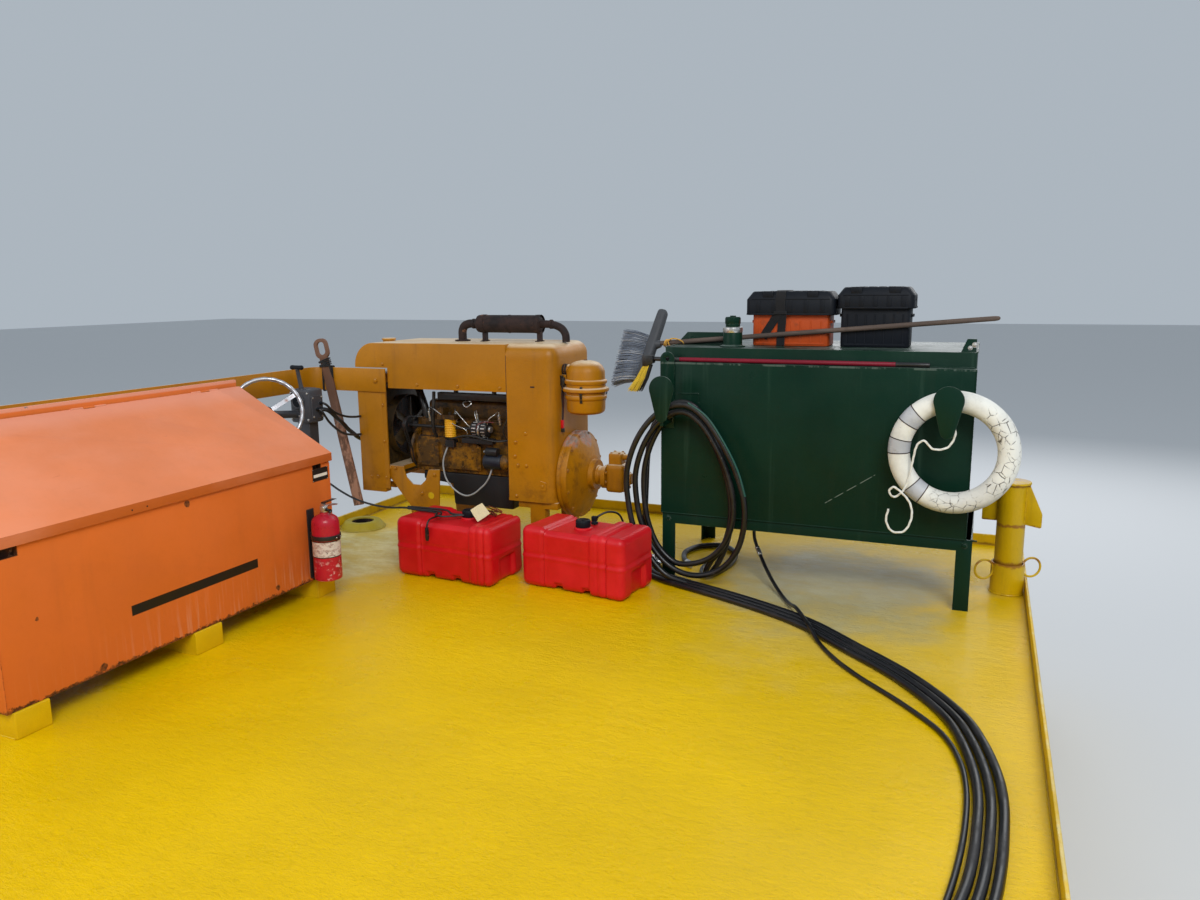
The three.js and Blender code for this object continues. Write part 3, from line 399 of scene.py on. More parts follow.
def foam_ring():
    """The life ring's white skin: crazed and scuffed, with painted shade in grey on its downward faces."""
    s = Shader("ring_foam", Specular_IOR_level=0.3)
    base = srgb(232, 231, 222)
    tone = s.mix(s.span(s.noise(4, 6, 0.65), 0.4, 0.7), base, srgb(206, 204, 196))
    bent = s.noise(7, 5, 0.7)
    crack = s.cells(24, s.stretched(move=(0.3, 0.1, 0.2)), "DISTANCE_TO_EDGE")
    crack = s.plus(crack, s.times(s.minus(bent, 0.5), 0.12))
    where = s.any(s.blob((1.99, 3.06, 0.93), 0.16, 0.16), s.blob((2.04, 3.06, 0.72), 0.13, 0.16),
                  s.blob((1.83, 3.06, 0.6), 0.13, 0.14), s.blob((1.93, 3.17, 1.02), 0.1, 0.1))
    thin = s.both(s.span(crack, 0.0, 0.05, 1, 0), where)
    thin = s.both(thin, s.span(s.noise(16, 5, 0.7), 0.42, 0.56))
    tone = s.mix(thin, tone, srgb(70, 62, 54))
    flakes = s.span(s.noise(34, 6, 0.75), 0.64, 0.68)
    tone = s.mix(s.times(flakes, 0.6), tone, srgb(128, 120, 106))
    # Painted shade: faces that look downwards turn grey.
    low = s.span(s.facing("z"), -0.9, -0.2, 0.5, 0)
    tone = s.mix(low, tone, srgb(120, 124, 112))
    s.bump(s.minus(1.0, thin), 0.003)
    s.bump(s.noise(90, 5, 0.6), 0.0009)
    return s.done(tone, 0.6)


def wood_grain(name, base):
    s = Shader(name, Specular_IOR_level=0.25)
    grain = s.noise(26, 6, 0.65, s.stretched((0.06, 1, 1), turn=(0, -0.085, 0)), 1.0)
    tone = s.mix(s.span(grain, 0.35, 0.65), shade(base, 0.7), shade(base, 1.15))
    tone = s.mix(s.span(s.noise(9, 6, 0.7), 0.55, 0.75, 0, 0.5), tone, GRIME)
    s.bump(grain, 0.0008)
    return s.done(tone, 0.72)


YELLOW = srgb(222, 182, 8)
ORANGE = srgb(216, 110, 44)
LID_ORANGE = srgb(224, 130, 84)
OCHRE = srgb(174, 114, 4)
GREEN = srgb(9, 42, 30)
CHEST_FRONT = -1.332


def chest_marks(s, tone):
    """The band on the front, faded streaks below it, and chipped rust along the foot and the near corner."""
    x, y, z = s.axes()
    front = s.span(s.facing("x"), 0.5, 0.9)
    band = s.both(front, s.window(y, 1.055, 1.777), s.window(z, DECK + 0.295, DECK + 0.34))
    pale = s.noise(58, 5, 0.6, s.stretched((1, 1, 0.06)))
    low = s.both(s.span(z, DECK + 0.34, DECK + 0.12, 0, 1), s.span(y, 0.8, 1.6, 0.15, 1))
    tone = s.mix(s.both(s.span(pale, 0.5, 0.7, 0, 0.55), low), tone, srgb(222, 158, 128))
    foot = s.ragged(z, 0.09, 18, 7, 0.75)
    rust = s.span(foot, DECK + 0.112, DECK + 0.122, 1, 0)
    near = s.ragged(y, 0.07, 16, 7, 0.75, s.stretched((1, 1, 0.5)))
    corner = s.both(front, s.span(near, 0.488, 0.5, 1, 0))
    rust = s.any(rust, s.times(corner, 0.8))
    for at, up, radius in ((0.652, 0.427, 0.008), (1.387, 0.706, 0.018), (0.9, 0.13, 0.02),
                           (1.9, 0.15, 0.016)):
        rust = s.any(rust, s.blob((CHEST_FRONT, at, up), radius, 0.02, 60))
    tone = s.mix(rust, tone, s.mix(s.span(s.noise(70, 4), 0.4, 0.6), srgb(78, 44, 28), RUST_LIGHT))
    strip = s.span(x, -1.935, -1.93, 1, 0)
    back = s.both(strip, s.span(z, DECK + 1.13, DECK + 1.14))
    tone = s.mix(back, tone, srgb(222, 146, 118))
    rubbed = s.both(back, s.span(s.noise(6, 7, 0.7), 0.6, 0.64))
    tone = s.mix(rubbed, tone, srgb(128, 122, 122))
    return s.mix(band, tone, srgb(30, 26, 24))


def lid_marks(s, tone):
    """Sun-faded on top, with painted shade in darker orange on the turned-down lip."""
    x = s.axis("x")
    # Painted shade: the lip, facing forwards, is darkened.
    lip = s.span(s.facing("x"), 0.75, 0.9)
    tone = s.mix(lip, tone, shade(ORANGE, 0.74))
    cloud = s.noise(2.2, 5, 0.6, s.stretched((1, 0.5, 1)))
    tone = s.mix(s.span(cloud, 0.4, 0.7, 0, 0.35), tone, srgb(228, 150, 120))
    scrape = s.noise(20, 6, 0.75, s.stretched((1, 0.15, 1)))
    tone = s.mix(s.span(scrape, 0.66, 0.7, 0, 0.6), tone, srgb(186, 96, 66))
    high = s.span(x, -1.8, -1.93)
    tone = s.mix(s.times(high, 0.5), tone, srgb(226, 156, 134))
    rub = s.both(s.span(x, -1.345, -1.33), s.minus(1.0, lip), s.span(s.noise(9, 6, 0.7), 0.62, 0.68))
    return s.mix(rub, tone, srgb(166, 92, 62))


def tank_marks(s, tone):
    """A long scratch, faint runs, a pale line on the shelf's edge that is painted highlight broken by chips,
    and a painted sky reflection on the top faces.
    """
    x, z = s.axis("x"), s.axis("z")
    front = s.span(s.facing("y"), -0.9, -0.5, 1, 0)
    rise = s.times(s.minus(x, 1.183), 0.685)
    off = s.minus(s.minus(z, DECK + 0.507), rise)
    line = s.both(s.window(off, -0.0016, 0.0016, 0.0012), s.window(x, 1.183, 1.431), front,
                  s.span(s.noise(30, 3), 0.4, 0.5))
    # Painted highlight: a pale broken line along the shelf's front edge, with chips in it.
    edge = s.both(front, s.window(z, DECK + 1.222, DECK + 1.2335, 0.001),
                  s.span(s.noise(9, 7, 0.75, s.stretched((1, 1, 0.2))), 0.5, 0.56))
    tone = s.mix(s.any(line, s.times(edge, 0.3)), tone, srgb(128, 140, 130))
    runs = s.noise(13, 5, 0.6, s.stretched((1, 1, 0.05), move=(4, 0, 0)))
    tone = s.mix(s.span(runs, 0.58, 0.78, 0, 0.35), tone, srgb(58, 84, 70))
    # Painted reflection: upward faces turn pale grey-green where the glossy top would show the sky; the mask
    # below is this sheen, not dust.
    top = s.span(s.facing("z"), 0.5, 0.9)
    dust = s.both(top, s.span(s.noise(5, 7, 0.7, s.stretched((0.6, 1.6, 1))), 0.42, 0.62))
    s.bump(s.noise(2.6, 3, 0.5), 0.012, 0.7)
    return s.mix(s.times(dust, 0.55), tone, srgb(112, 122, 116))


def bollard_marks(s, tone):
    """Rust where the horns and the cap meet the pipe and where it stands in its collar."""
    z = s.axis("z")
    ragged = s.ragged(z, 0.05, 26, 6, 0.75)
    under = s.window(ragged, DECK + 0.59, DECK + 0.6, 0.005)
    foot = s.window(ragged, DECK + 0.155, DECK + 0.178, 0.01)
    horn = s.window(ragged, DECK + 0.368, DECK + 0.386, 0.006)
    tone = s.mix(s.times(s.any(under, foot, horn), 0.75), tone, RUST_LIGHT)
    top = s.both(s.span(s.facing("z"), 0.6, 0.9), s.span(z, DECK + 0.6, DECK + 0.607))
    worn = s.both(top, s.span(s.noise(14, 6, 0.7), 0.42, 0.55))
    return s.mix(worn, tone, srgb(182, 152, 110))


def hood_marks(s, tone):
    """A painted pale sky reflection on the upper side, oil and dirt low down."""
    z = s.axis("z")
    # Painted reflection: upward faces turn pale beige, standing in for the sky's reflection.
    top = s.span(s.facing("z"), 0.6, 0.95)
    film = s.noise(6, 7, 0.7, s.stretched((0.7, 1.4, 1)))
    tone = s.mix(s.both(top, s.span(film, 0.3, 0.56, 0.5, 0.97)), tone, srgb(214, 190, 156))
    low = s.span(z, DECK + 0.75, DECK + 0.3, 0, 1)
    tone = s.mix(s.both(low, s.span(s.noise(9, 6, 0.7), 0.46, 0.66, 0, 0.5)), tone, srgb(118, 72, 14))
    dots = s.both(s.span(s.cells(9), 0.0, 0.05, 1, 0), s.span(s.noise(2.3, 3), 0.55, 0.6))
    return s.mix(s.times(dots, 0.8), tone, RUST_DARK)


def oily(s, tone):
    """Soot and oil in the engine space, with painted shade under the hood that darkens everything high up."""
    # Painted shade: parts high up in the engine space, under the hood, are darkened.
    high = s.span(s.axis("z"), DECK + 0.66, DECK + 0.78, 0, 0.6)
    tone = s.mix(high, tone, srgb(34, 26, 14))
    film = s.span(s.noise(11, 7, 0.72), 0.36, 0.58, 0, 0.8)
    tone = s.mix(film, tone, srgb(36, 28, 16))
    return s.mix(s.span(s.noise(24, 6, 0.7, s.stretched(move=(3, 3, 3))), 0.52, 0.62, 0, 0.75), tone,
                 srgb(18, 15, 12))


def coaming_marks(s, tone):
    """Rubbed pale along the top edge, rusty along the foot."""
    z = s.axis("z")
    rough = s.ragged(z, 0.05, 22, 6, 0.75)
    top = s.both(s.span(rough, DECK + 0.062, DECK + 0.07), s.span(s.noise(5, 6, 0.7), 0.42, 0.62))
    tone = s.mix(s.times(top, 0.6), tone, srgb(214, 200, 140))
    foot = s.span(rough, DECK + 0.006, DECK + 0.02, 1, 0)
    tone = s.mix(s.both(foot, s.span(s.noise(3, 6, 0.7), 0.4, 0.6, 0.1, 0.8)), tone, srgb(122, 82, 22))
    return s.mix(s.span(s.noise(13, 8, 0.74), 0.68, 0.72), tone, RUST_DARK)


def bottle_marks(s, tone):
    """White scuffs low on the bottle, dull dark red elsewhere."""
    z = s.axis("z")
    low = s.span(z, DECK + 0.26, DECK + 0.2, 0, 1)
    tone = s.mix(s.span(s.noise(40, 6, 0.7), 0.54, 0.7, 0, 0.55), tone, srgb(96, 16, 28))
    scuff = s.both(low, s.span(s.noise(26, 6, 0.7, s.stretched((1, 1, 1.6))), 0.55, 0.61))
    return s.mix(s.times(scuff, 0.85), tone, srgb(228, 198, 198))


def label_marks(s, tone):
    """Brown and grey smears over the blank label."""
    smear = s.span(s.noise(34, 6, 0.7, s.stretched((1, 1, 2.2))), 0.47, 0.6, 0, 0.75)
    tone = s.mix(smear, tone, srgb(150, 118, 110))
    return s.mix(s.span(s.noise(60, 6, 0.7, s.stretched(move=(2, 0, 0))), 0.6, 0.66, 0, 0.8), tone,
                 srgb(92, 76, 74))


def bar_marks(s, tone):
    """Pinkish bare patches low on the bar."""
    low = s.span(s.axis("z"), DECK + 1.0, DECK + 0.6, 0, 1)
    patch = s.both(low, s.span(s.noise(15, 6, 0.7, s.stretched((1, 1, 0.5))), 0.46, 0.58))
    return s.mix(s.times(patch, 0.8), tone, srgb(186, 140, 116))


def bell_marks(s, tone):
    """Paint rubbed through to grey and pink round the upper rim."""
    rubbed = s.any(s.blob((-0.36, 3.572, 0.745), 0.1, 0.08), s.blob((-0.4, 3.45, 0.7), 0.07, 0.07))
    tone = s.mix(s.times(rubbed, 0.85), tone,
                 s.mix(s.span(s.noise(40, 5), 0.4, 0.6), srgb(150, 140, 134), srgb(178, 120, 96)))
    return s.mix(s.span(s.noise(13, 7, 0.72), 0.5, 0.66, 0, 0.5), tone, srgb(96, 60, 12))


LOOK = {"deck": deck_paint(),
        "yellow": paint("fitting_yellow", YELLOW, 0.36, 0.3, 0.4, 0.3, 0.0012, seed=1, spec=0.3),
        "bollard": paint("bollard_yellow", srgb(206, 168, 6), 0.36, 0.2, 0.4, 0.3, 0.0012, seed=1.5, spec=0.3,
                         extra=bollard_marks),
        "coaming": paint("coaming_yellow", srgb(214, 174, 10), 0.36, 0.35, 0.5, 0.35, 0.0014, seed=12,
                         spec=0.3, extra=coaming_marks),
        "socket": paint("socket_olive", srgb(166, 148, 38), 0.5, 0.7, 0.7, 0.6, 0.0012, srgb(190, 178, 140),
                        seed=13, spec=0.25),
        "weld": paint("weld_yellow", srgb(176, 138, 14), 0.45, 0.6, 0.6, 0.5, 0.0012, seed=14, spec=0.25),
        "bar": paint("bar_brown", srgb(112, 82, 66), 0.6, 0.7, 0.8, 0.5, 0.001, srgb(150, 104, 78), seed=15,
                     spec=0.2, extra=bar_marks),
        "orange": paint("chest_orange", ORANGE, 0.5, 0.0, 0.3, 0.08, 0.0002, seed=2, spec=0.25,
                        extra=chest_marks, contrast=0.4),
        "lid": paint("chest_lid_orange", LID_ORANGE, 0.55, 0.0, 0.1, 0.05, 0.0002, seed=2.5, spec=0.2,
                     extra=lid_marks, contrast=0.5),
        "ochre": paint("machine_ochre", OCHRE, 0.4, 0.3, 0.55, 0.35, 0.0006, seed=3, spec=0.3,
                       extra=hood_marks),
        # The engine's ochre, with oil and with painted shade under the hood.
        "oily": paint("engine_ochre", srgb(150, 100, 10), 0.42, 0.4, 0.4, 0.6, 0.0008, seed=3.5, spec=0.35,
                      extra=oily),
        "bell": paint("bell_ochre", OCHRE, 0.42, 0.45, 0.5, 0.4, 0.001, srgb(176, 132, 112), seed=8, spec=0.3,
                      extra=bell_marks),
        # The fan's and shroud's dark ochre also takes the painted shade under the hood from the engine-space
        # marks.
        "sooty": paint("sooty_ochre", srgb(74, 54, 22), 0.5, 0.5, 0.5, 0.6, 0.0008, seed=16, spec=0.2,
                       extra=oily),
        "block": plastic("broom_block", srgb(72, 74, 78), 0.5, 0.3, spec=0.2),
        "green": paint("tank_green", GREEN, 0.34, 0.0, 0.5, 0.1, 0.0004, srgb(120, 132, 120), seed=4,
                       spec=0.14, extra=tank_marks),
        "red": paint("bottle_red", srgb(184, 24, 48), 0.3, 0.0, 0.5, 0.15, 0.0003, srgb(200, 190, 180),
                     seed=5, extra=bottle_marks),
        "crimson": plastic("pole_crimson", srgb(120, 20, 40), 0.42, 0.3, spec=0.25),
        "worn_label": paint("worn_label", srgb(214, 204, 196), 0.5, 0.0, 0.5, 0.3, 0.0002,
                            srgb(120, 110, 106), seed=17, spec=0.3, extra=label_marks),
        "black": paint("black_paint", srgb(30, 30, 32), 0.45, 0.45, 0.7, 0.3, 0.0006, seed=6),
        "grey": paint("helm_grey", srgb(62, 64, 70), 0.42, 0.1, 0.6, 0.4, 0.0005, srgb(160, 160, 160),
                      seed=7),
        "rust": rusty("rusty_steel", srgb(58, 36, 26), srgb(122, 74, 46), srgb(178, 132, 98)),
        "muffler": rusty("muffler_rust", srgb(34, 28, 28), srgb(66, 50, 46), srgb(120, 82, 60), 0.3, 3),
        "steel": bare_metal("bare_steel", (0.55, 0.55, 0.54)),
        "chrome": bare_metal("bright_rim", (0.46, 0.47, 0.5), 0.34, 0.85),
        "red_plastic": plastic("fuel_red", srgb(206, 12, 24), 0.38, 0.12, 0.0006, srgb(214, 24, 34), 0.35,
                               0.12),
        "black_plastic": plastic("black_plastic", srgb(18, 22, 29), 0.5, 0.12, spec=0.18, dirt=0.12),
        "orange_plastic": plastic("battery_orange", srgb(186, 76, 30), 0.5, 0.25, spec=0.2),
        "yellow_plastic": plastic("broom_yellow", srgb(226, 190, 44), 0.5, 0.3),
        "hose": rubber("hose_rubber", srgb(13, 13, 17), 0.4, 0.1),
        # The teal strand's colour paints the hose coil's highlight.
        "teal": rubber("teal_strand", srgb(14, 74, 66), 0.45, 0.15),
        "cable": rubber("cable_black", srgb(24, 24, 26), 0.45, 0.2),
        "rope": fibre("white_line", srgb(232, 230, 220)),
        "twine": fibre("yellow_twine", srgb(214, 164, 70)),
        "webbing": fibre("black_webbing", srgb(28, 28, 30), 700, 0.2),
        "foam": foam_ring(),
        "tape": plastic("grey_tape", srgb(184, 186, 190), 0.4, 0.3, 0.0006),
        "wood": wood_grain("broom_wood", srgb(98, 84, 76)),
        "bristle": fibre("broom_bristle", srgb(116, 124, 138), 500, 0.25),
        "bristle_yellow": fibre("brush_yellow", srgb(226, 196, 60), 500, 0.2),
        "label": plastic("blank_label", srgb(222, 218, 208), 0.5, 0.3),
        "stripe": paint("stripe_black", srgb(26, 24, 23), 0.4, 0.1, 0.5, 0.2, 0.0003, seed=9),
        "blue": plastic("starter_blue", srgb(16, 24, 38), 0.5, 0.2),
        "copper": bare_metal("copper_jaw", srgb(150, 84, 62), 0.35, 0.7),
        "filter": plastic("filter_yellow", srgb(226, 166, 24), 0.4, 0.2),
        "maroon": rubber("maroon_wire", srgb(92, 26, 28), 0.45, 0.2),
        "grey_wire": rubber("grey_wire", srgb(168, 170, 168), 0.45, 0.2),
        "paper": fibre("cream_tag", srgb(222, 206, 166), 300, 0.2)}


def spline(points, count, closed=False):
    """Evenly spaced points on a centripetal curve through the given ones."""
    p = [Vector(q) for q in points]
    if closed:
        p = [p[-1], *p, p[0], p[1]]
    else:
        p = [p[0] * 2 - p[1], *p, p[-1] * 2 - p[-2]]
    dense = []
    for a, b, c, d in zip(p, p[1:], p[2:], p[3:]):
        t0 = 0.0
        t1 = t0 + max((b - a).length, 1e-9) ** 0.5
        t2 = t1 + max((c - b).length, 1e-9) ** 0.5
        t3 = t2 + max((d - c).length, 1e-9) ** 0.5
        for i in range(24):
            t = t1 + (t2 - t1) * i / 24
            a1 = a * ((t1 - t) / (t1 - t0)) + b * ((t - t0) / (t1 - t0))
            a2 = b * ((t2 - t) / (t2 - t1)) + c * ((t - t1) / (t2 - t1))
            a3 = c * ((t3 - t) / (t3 - t2)) + d * ((t - t2) / (t3 - t2))
            b1 = a1 * ((t2 - t) / (t2 - t0)) + a2 * ((t - t0) / (t2 - t0))
            b2 = a2 * ((t3 - t) / (t3 - t1)) + a3 * ((t - t1) / (t3 - t1))
            dense.append(b1 * ((t2 - t) / (t2 - t1)) + b2 * ((t - t1) / (t2 - t1)))
    dense.append(p[-2].copy())
    along = [0.0]
    for a, b in zip(dense, dense[1:]):
        along.append(along[-1] + (b - a).length)
    found, k = [], 0
    for i in range(count):
        want = along[-1] * i / (count if closed else count - 1)
        while k < len(along) - 2 and along[k + 1] < want:
            k += 1
        share = (want - along[k]) / max(along[k + 1] - along[k], 1e-12)
        found.append(dense[k].lerp(dense[k + 1], min(share, 1)))
    return found


def run_length(points):
    return sum((Vector(b) - Vector(a)).length for a, b in zip(points, points[1:]))


AXES = {
    "x": Matrix(((0, 0, 1), (1, 0, 0), (0, 1, 0))),
    "y": Matrix(((1, 0, 0), (0, 0, 1), (0, 1, 0))),
    "z": Matrix(((1, 0, 0), (0, 1, 0), (0, 0, 1))),
}


def basis(direction):
    """A matrix whose third column is the direction."""
    return Vector(direction).normalized().to_track_quat("Z", "Y").to_matrix()


class Kit:
    """Solids collected into one piece, placed in metres above the deck."""

    def __init__(self):
        self.bm = bmesh.new()

    def add(self, verts, faces, place=None, slot=0):
        made = [self.bm.verts.new((place @ Vector(v) if place else Vector(v)) + LIFT) for v in verts]
        for face in faces:
            new = self.bm.faces.new([made[i] for i in face])
            new.material_index = slot
        return self

    def rings(self, rings, caps=True, closed=False, place=None, slot=0):
        n = len(rings[0])
        verts = [v for ring in rings for v in ring]
        faces = []
        for i in range(len(rings) if closed else len(rings) - 1):
            a, b = i * n, ((i + 1) % len(rings)) * n
            faces += [(a + j, a + (j + 1) % n, b + (j + 1) % n, b + j) for j in range(n)]
        if caps and not closed:
            faces += [tuple(reversed(range(n))), tuple(range(len(verts) - n, len(verts)))]
        return self.add(verts, faces, place, slot)

    def prism(self, outline, axis, low, high, place=None, slot=0):
        m = AXES[axis]
        rings = [[m @ Vector((u, v, h)) for u, v in outline] for h in (low, high)]
        return self.rings(rings, place=place, slot=slot)

    def box(self, x0, x1, y0, y1, z0, z1, place=None, slot=0):
        (x0, x1), (y0, y1), (z0, z1) = sorted((x0, x1)), sorted((y0, y1)), sorted((z0, z1))
        return self.prism([(x0, y0), (x1, y0), (x1, y1), (x0, y1)], "z", z0, z1, place, slot)

    def lathe(self, profile, at, direction=(0, 0, 1), count=48, slot=0, closed=False):
        """The profile is (radius, height) pairs; ends at radius 0 close to a point."""
        place = Matrix.Translation(at) @ basis(direction).to_4x4()
        rings = []
        for r, h in profile:
            angles = [2 * pi * i / count for i in range(count)]
            rings.append([place @ Vector((max(r, 1e-4) * cos(a), max(r, 1e-4) * sin(a), h)) for a in angles])
        return self.rings(rings, caps=not closed, closed=closed, slot=slot)

    def stud(self, foot, head, rim, height, *place):
        """A crowned disc: its radius at the foot and at the rim, and the heights of rim and middle."""
        return self.lathe([(0, 0), (foot, 0), (head, rim), (0, height)], *place)

    def band(self, inner, outer, width, edge, at, direction, count, slot=0):
        """A round strap with sloping edges."""
        profile = [(inner, 0), (outer, edge), (outer, width - edge), (inner, width)]
        return self.lathe(profile, at, direction, count, slot, True)

    def tube(self, points, radius, count=12, closed=False, slot=0, lobes=0, twist=0.0):
        """A swept round section; radius may be one number or one for each point."""
        p = [Vector(q) for q in points]
        n = len(p)
        size = radius if hasattr(radius, "__len__") else [radius] * n
        rings = []
        up = None
        for i in range(n):
            before = p[i - 1] if i or closed else p[i]
            after = p[(i + 1) % n] if i < n - 1 or closed else p[i]
            way = (after - before).normalized()
            if up is None:
                up = way.orthogonal().normalized()
            up = (up - way * up.dot(way)).normalized()
            side = way.cross(up)
            ring = []
            for j in range(count):
                a = 2 * pi * j / count
                r = size[i] * (1 + 0.16 * cos(lobes * a) if lobes else 1)
                b = a + twist * i
                ring.append(p[i] + (up * cos(b) + side * sin(b)) * r)
            rings.append(ring)
        return self.rings(rings, closed=closed, slot=slot)

    def wire(self, points, steps, radius, count=12, slot=0, closed=False, **options):
        """A tube along the smooth line through the points."""
        return self.tube(spline(points, steps, closed), radius, count, closed, slot, **options)

    def rod(self, a, b, radius, count=16, slot=0):
        return self.tube([a, b], radius, count, slot=slot)

    def hex(self, at, direction, radius, height=None, slot=0, washer=True):
        """A bolt head on its washer."""
        height = height or radius * 0.7
        place = Matrix.Translation(at) @ basis(direction).to_4x4()
        if washer:
            rim = radius * 1.45
            self.lathe([(0, 0), (rim, 0), (rim, radius * 0.16), (0, radius * 0.16)], at, direction, 16, slot)
        base = radius * 0.16 if washer else 0
        ring = [(radius * cos(a), radius * sin(a)) for a in [pi / 3 * i for i in range(6)]]
        low = [place @ Vector((u, v, base)) for u, v in ring]
        mid = [place @ Vector((u, v, base + height * 0.82)) for u, v in ring]
        top = [place @ Vector((u * 0.8, v * 0.8, base + height)) for u, v in ring]
        return self.rings([low, mid, top], slot=slot)

    def moulded(self, low, high, radius, step=0.008, relief=None, place=None, slot=0):
        """A rounded block on a fine grid; relief(point, normal) moves its skin along the normal."""
        low, high = Vector(low), Vector(high)
        middle, half = (low + high) / 2, (high - low) / 2
        found, faces, seen = [], [], {}

        def corner(p):
            key = tuple(round(c, 6) for c in p)
            if key not in seen:
                inner = Vector([max(-h + radius, min(h - radius, c)) for c, h in zip(p, half)])
                normal = (p - inner).normalized()
                point = inner + normal * radius
                if relief:
                    point += normal * relief(point, normal)
                seen[key] = len(found)
                found.append(point + middle)
            return seen[key]

        for axis in range(3):
            u, v = (axis + 1) % 3, (axis + 2) % 3
            nu, nv = (max(2, round(2 * half[k] / step)) for k in (u, v))
            for side in (-1, 1):
                grid = []
                for i in range(nu + 1):
                    row = []
                    for j in range(nv + 1):
                        p = Vector((0, 0, 0))
                        p[axis] = side * half[axis]
                        p[u] = half[u] * (2 * i / nu - 1)
                        p[v] = half[v] * (2 * j / nv - 1)
                        row.append(corner(p))
                    grid.append(row)
                for i in range(nu):
                    for j in range(nv):
                        faces.append((grid[i][j], grid[i + 1][j], grid[i + 1][j + 1], grid[i][j + 1]))
        return self.add(found, faces, place, slot)

    def slice(self, point, normal):
        """Cuts off what lies beyond a plane and closes the cut."""
        geometry = self.bm.verts[:] + self.bm.edges[:] + self.bm.faces[:]
        at = Vector(point) + LIFT
        cut = bmesh.ops.bisect_plane(self.bm, geom=geometry, plane_co=at, plane_no=normal, clear_outer=True)
        rim = [e for e in cut["geom_cut"] if isinstance(e, bmesh.types.BMEdge)]
        bmesh.ops.holes_fill(self.bm, edges=rim)
        return self

    def mesh(self, name):
        bmesh.ops.recalc_face_normals(self.bm, faces=self.bm.faces)
        made = bpy.data.meshes.new(name)
        self.bm.to_mesh(made)
        self.bm.free()
        return made

    def done(self, name, look, body="barge", edge=0.0, **options):
        """The finished piece; edge is a bevel in one step."""
        if edge:
            options.update(bevel=edge, segments=1)
        return finished(name, self.mesh(name), look, body, **options)


def carve(piece, kit):
    tool = bpy.data.objects.new("cutter", kit.mesh("cutter"))
    bpy.context.scene.collection.objects.link(tool)
    mod = piece.modifiers.new("cut", "BOOLEAN")
    mod.operation, mod.solver, mod.object = "DIFFERENCE", "EXACT", tool
    settle(piece)
    bpy.data.objects.remove(tool)


def finished(name, mesh, look, body="barge", bevel=0.0, segments=2, angle=35, replaces="", cuts=(),
             folds=None, fold=0.0):
    """Gives a piece its materials, cuts, rounded edges, shading and body.

    look is one look, or several in the order of the face slots. Edges for which folds(a, b) holds get the
    wider fold.
    """
    piece = bpy.data.objects.new(name, mesh)
    bpy.context.scene.collection.objects.link(piece)
    looks = look.split()
    for one in looks:
        mesh.materials.append(LOOK[one])
    for kit in cuts:
        carve(piece, kit)
    if folds:
        bm = bmesh.new()
        bm.from_mesh(piece.data)
        bmesh.ops.dissolve_limit(bm, angle_limit=rad(0.5), verts=bm.verts, edges=bm.edges)
        weight = bm.edges.layers.float.new("bevel_weight_edge")
        for edge in bm.edges:
            if folds(*[v.co - LIFT for v in edge.verts]):
                edge[weight] = 1.0
            elif edge.is_manifold and edge.calc_face_angle(0) > rad(32):
                edge[weight] = bevel / fold
        bm.to_mesh(piece.data)
        bm.free()
        mod = piece.modifiers.new("fold", "BEVEL")
        mod.width, mod.segments, mod.limit_method = fold, 6, "WEIGHT"
        settle(piece)
    elif bevel:
        mod = piece.modifiers.new("bevel", "BEVEL")
        mod.width, mod.segments, mod.limit_method, mod.angle_limit = bevel, segments, "ANGLE", rad(32)
        settle(piece)
    piece.data.shade_smooth()
    piece.data.set_sharp_from_angle(angle=rad(angle))
    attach(piece, body)
    if replaces:
        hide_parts(replaces)
    return piece


def settle(piece):
    """Applies the piece's modifiers."""
    shown = piece.evaluated_get(bpy.context.evaluated_depsgraph_get())
    mesh = bpy.data.meshes.new_from_object(shown)
    piece.modifiers.clear()
    piece.data = mesh


def refined(node, look, bevel, segments=2):
    """The node's own shape with its edges rounded."""
    source = nodes[node]
    bm = bmesh.new()
    bm.from_mesh(source.data)
    bmesh.ops.remove_doubles(bm, verts=bm.verts, dist=2e-5)
    bmesh.ops.dissolve_limit(bm, angle_limit=rad(0.8), verts=bm.verts, edges=bm.edges)
    mesh = bpy.data.meshes.new(node)
    bm.to_mesh(mesh)
    bm.free()
    return finished(node + "_skin", mesh, look, source["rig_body"], bevel, segments, replaces=node)


def spot(x, y, z=0.0):
    """A point, or a shift from one."""
    return Vector((x, y, z))


def hump(u, centre, half):
    """A smooth bump from 0 to 1, 2 * half wide."""
    off = abs(u - centre) / half
    return (cos(pi * off) + 1) / 2 if off < 1 else 0.0


def plateau(u, low, high, soft=0.008):
    """1 between low and high, with smooth sides."""

    def rise(t):
        t = max(0.0, min(1.0, t))
        return t * t * (3 - 2 * t)
    return rise((u - low) / soft + 0.5) * rise((high - u) / soft + 0.5)


def bead(kit, points, radius, step=0.006, closed=False):
    """A weld bead: a tube with the ripples of its passes."""
    count = max(4, int(run_length(points) / step))
    if len(points) > 2:
        line = spline(points, count, closed)
    else:
        line = [Vector(points[0]).lerp(Vector(points[1]), i / (count - 1)) for i in range(count)]
    sizes = [radius * (0.85 + 0.25 * (i % 2) + 0.2 * rng.random()) for i in range(len(line))]
    kit.tube(line, sizes, 8, closed=closed)


def ribbon(kit, points, side, width, thick, slot=0):
    """A flat strap along the points; side is the direction of its width."""
    p = [Vector(q) for q in points]
    across = Vector(side).normalized() * width / 2
    rings = []
    for i, q in enumerate(p):
        way = (p[min(i + 1, len(p) - 1)] - p[max(i - 1, 0)]).normalized()
        out = way.cross(across).normalized() * thick / 2
        rings.append([q + across + out, q - across + out, q - across - out, q + across - out])
    kit.rings(rings, slot=slot)


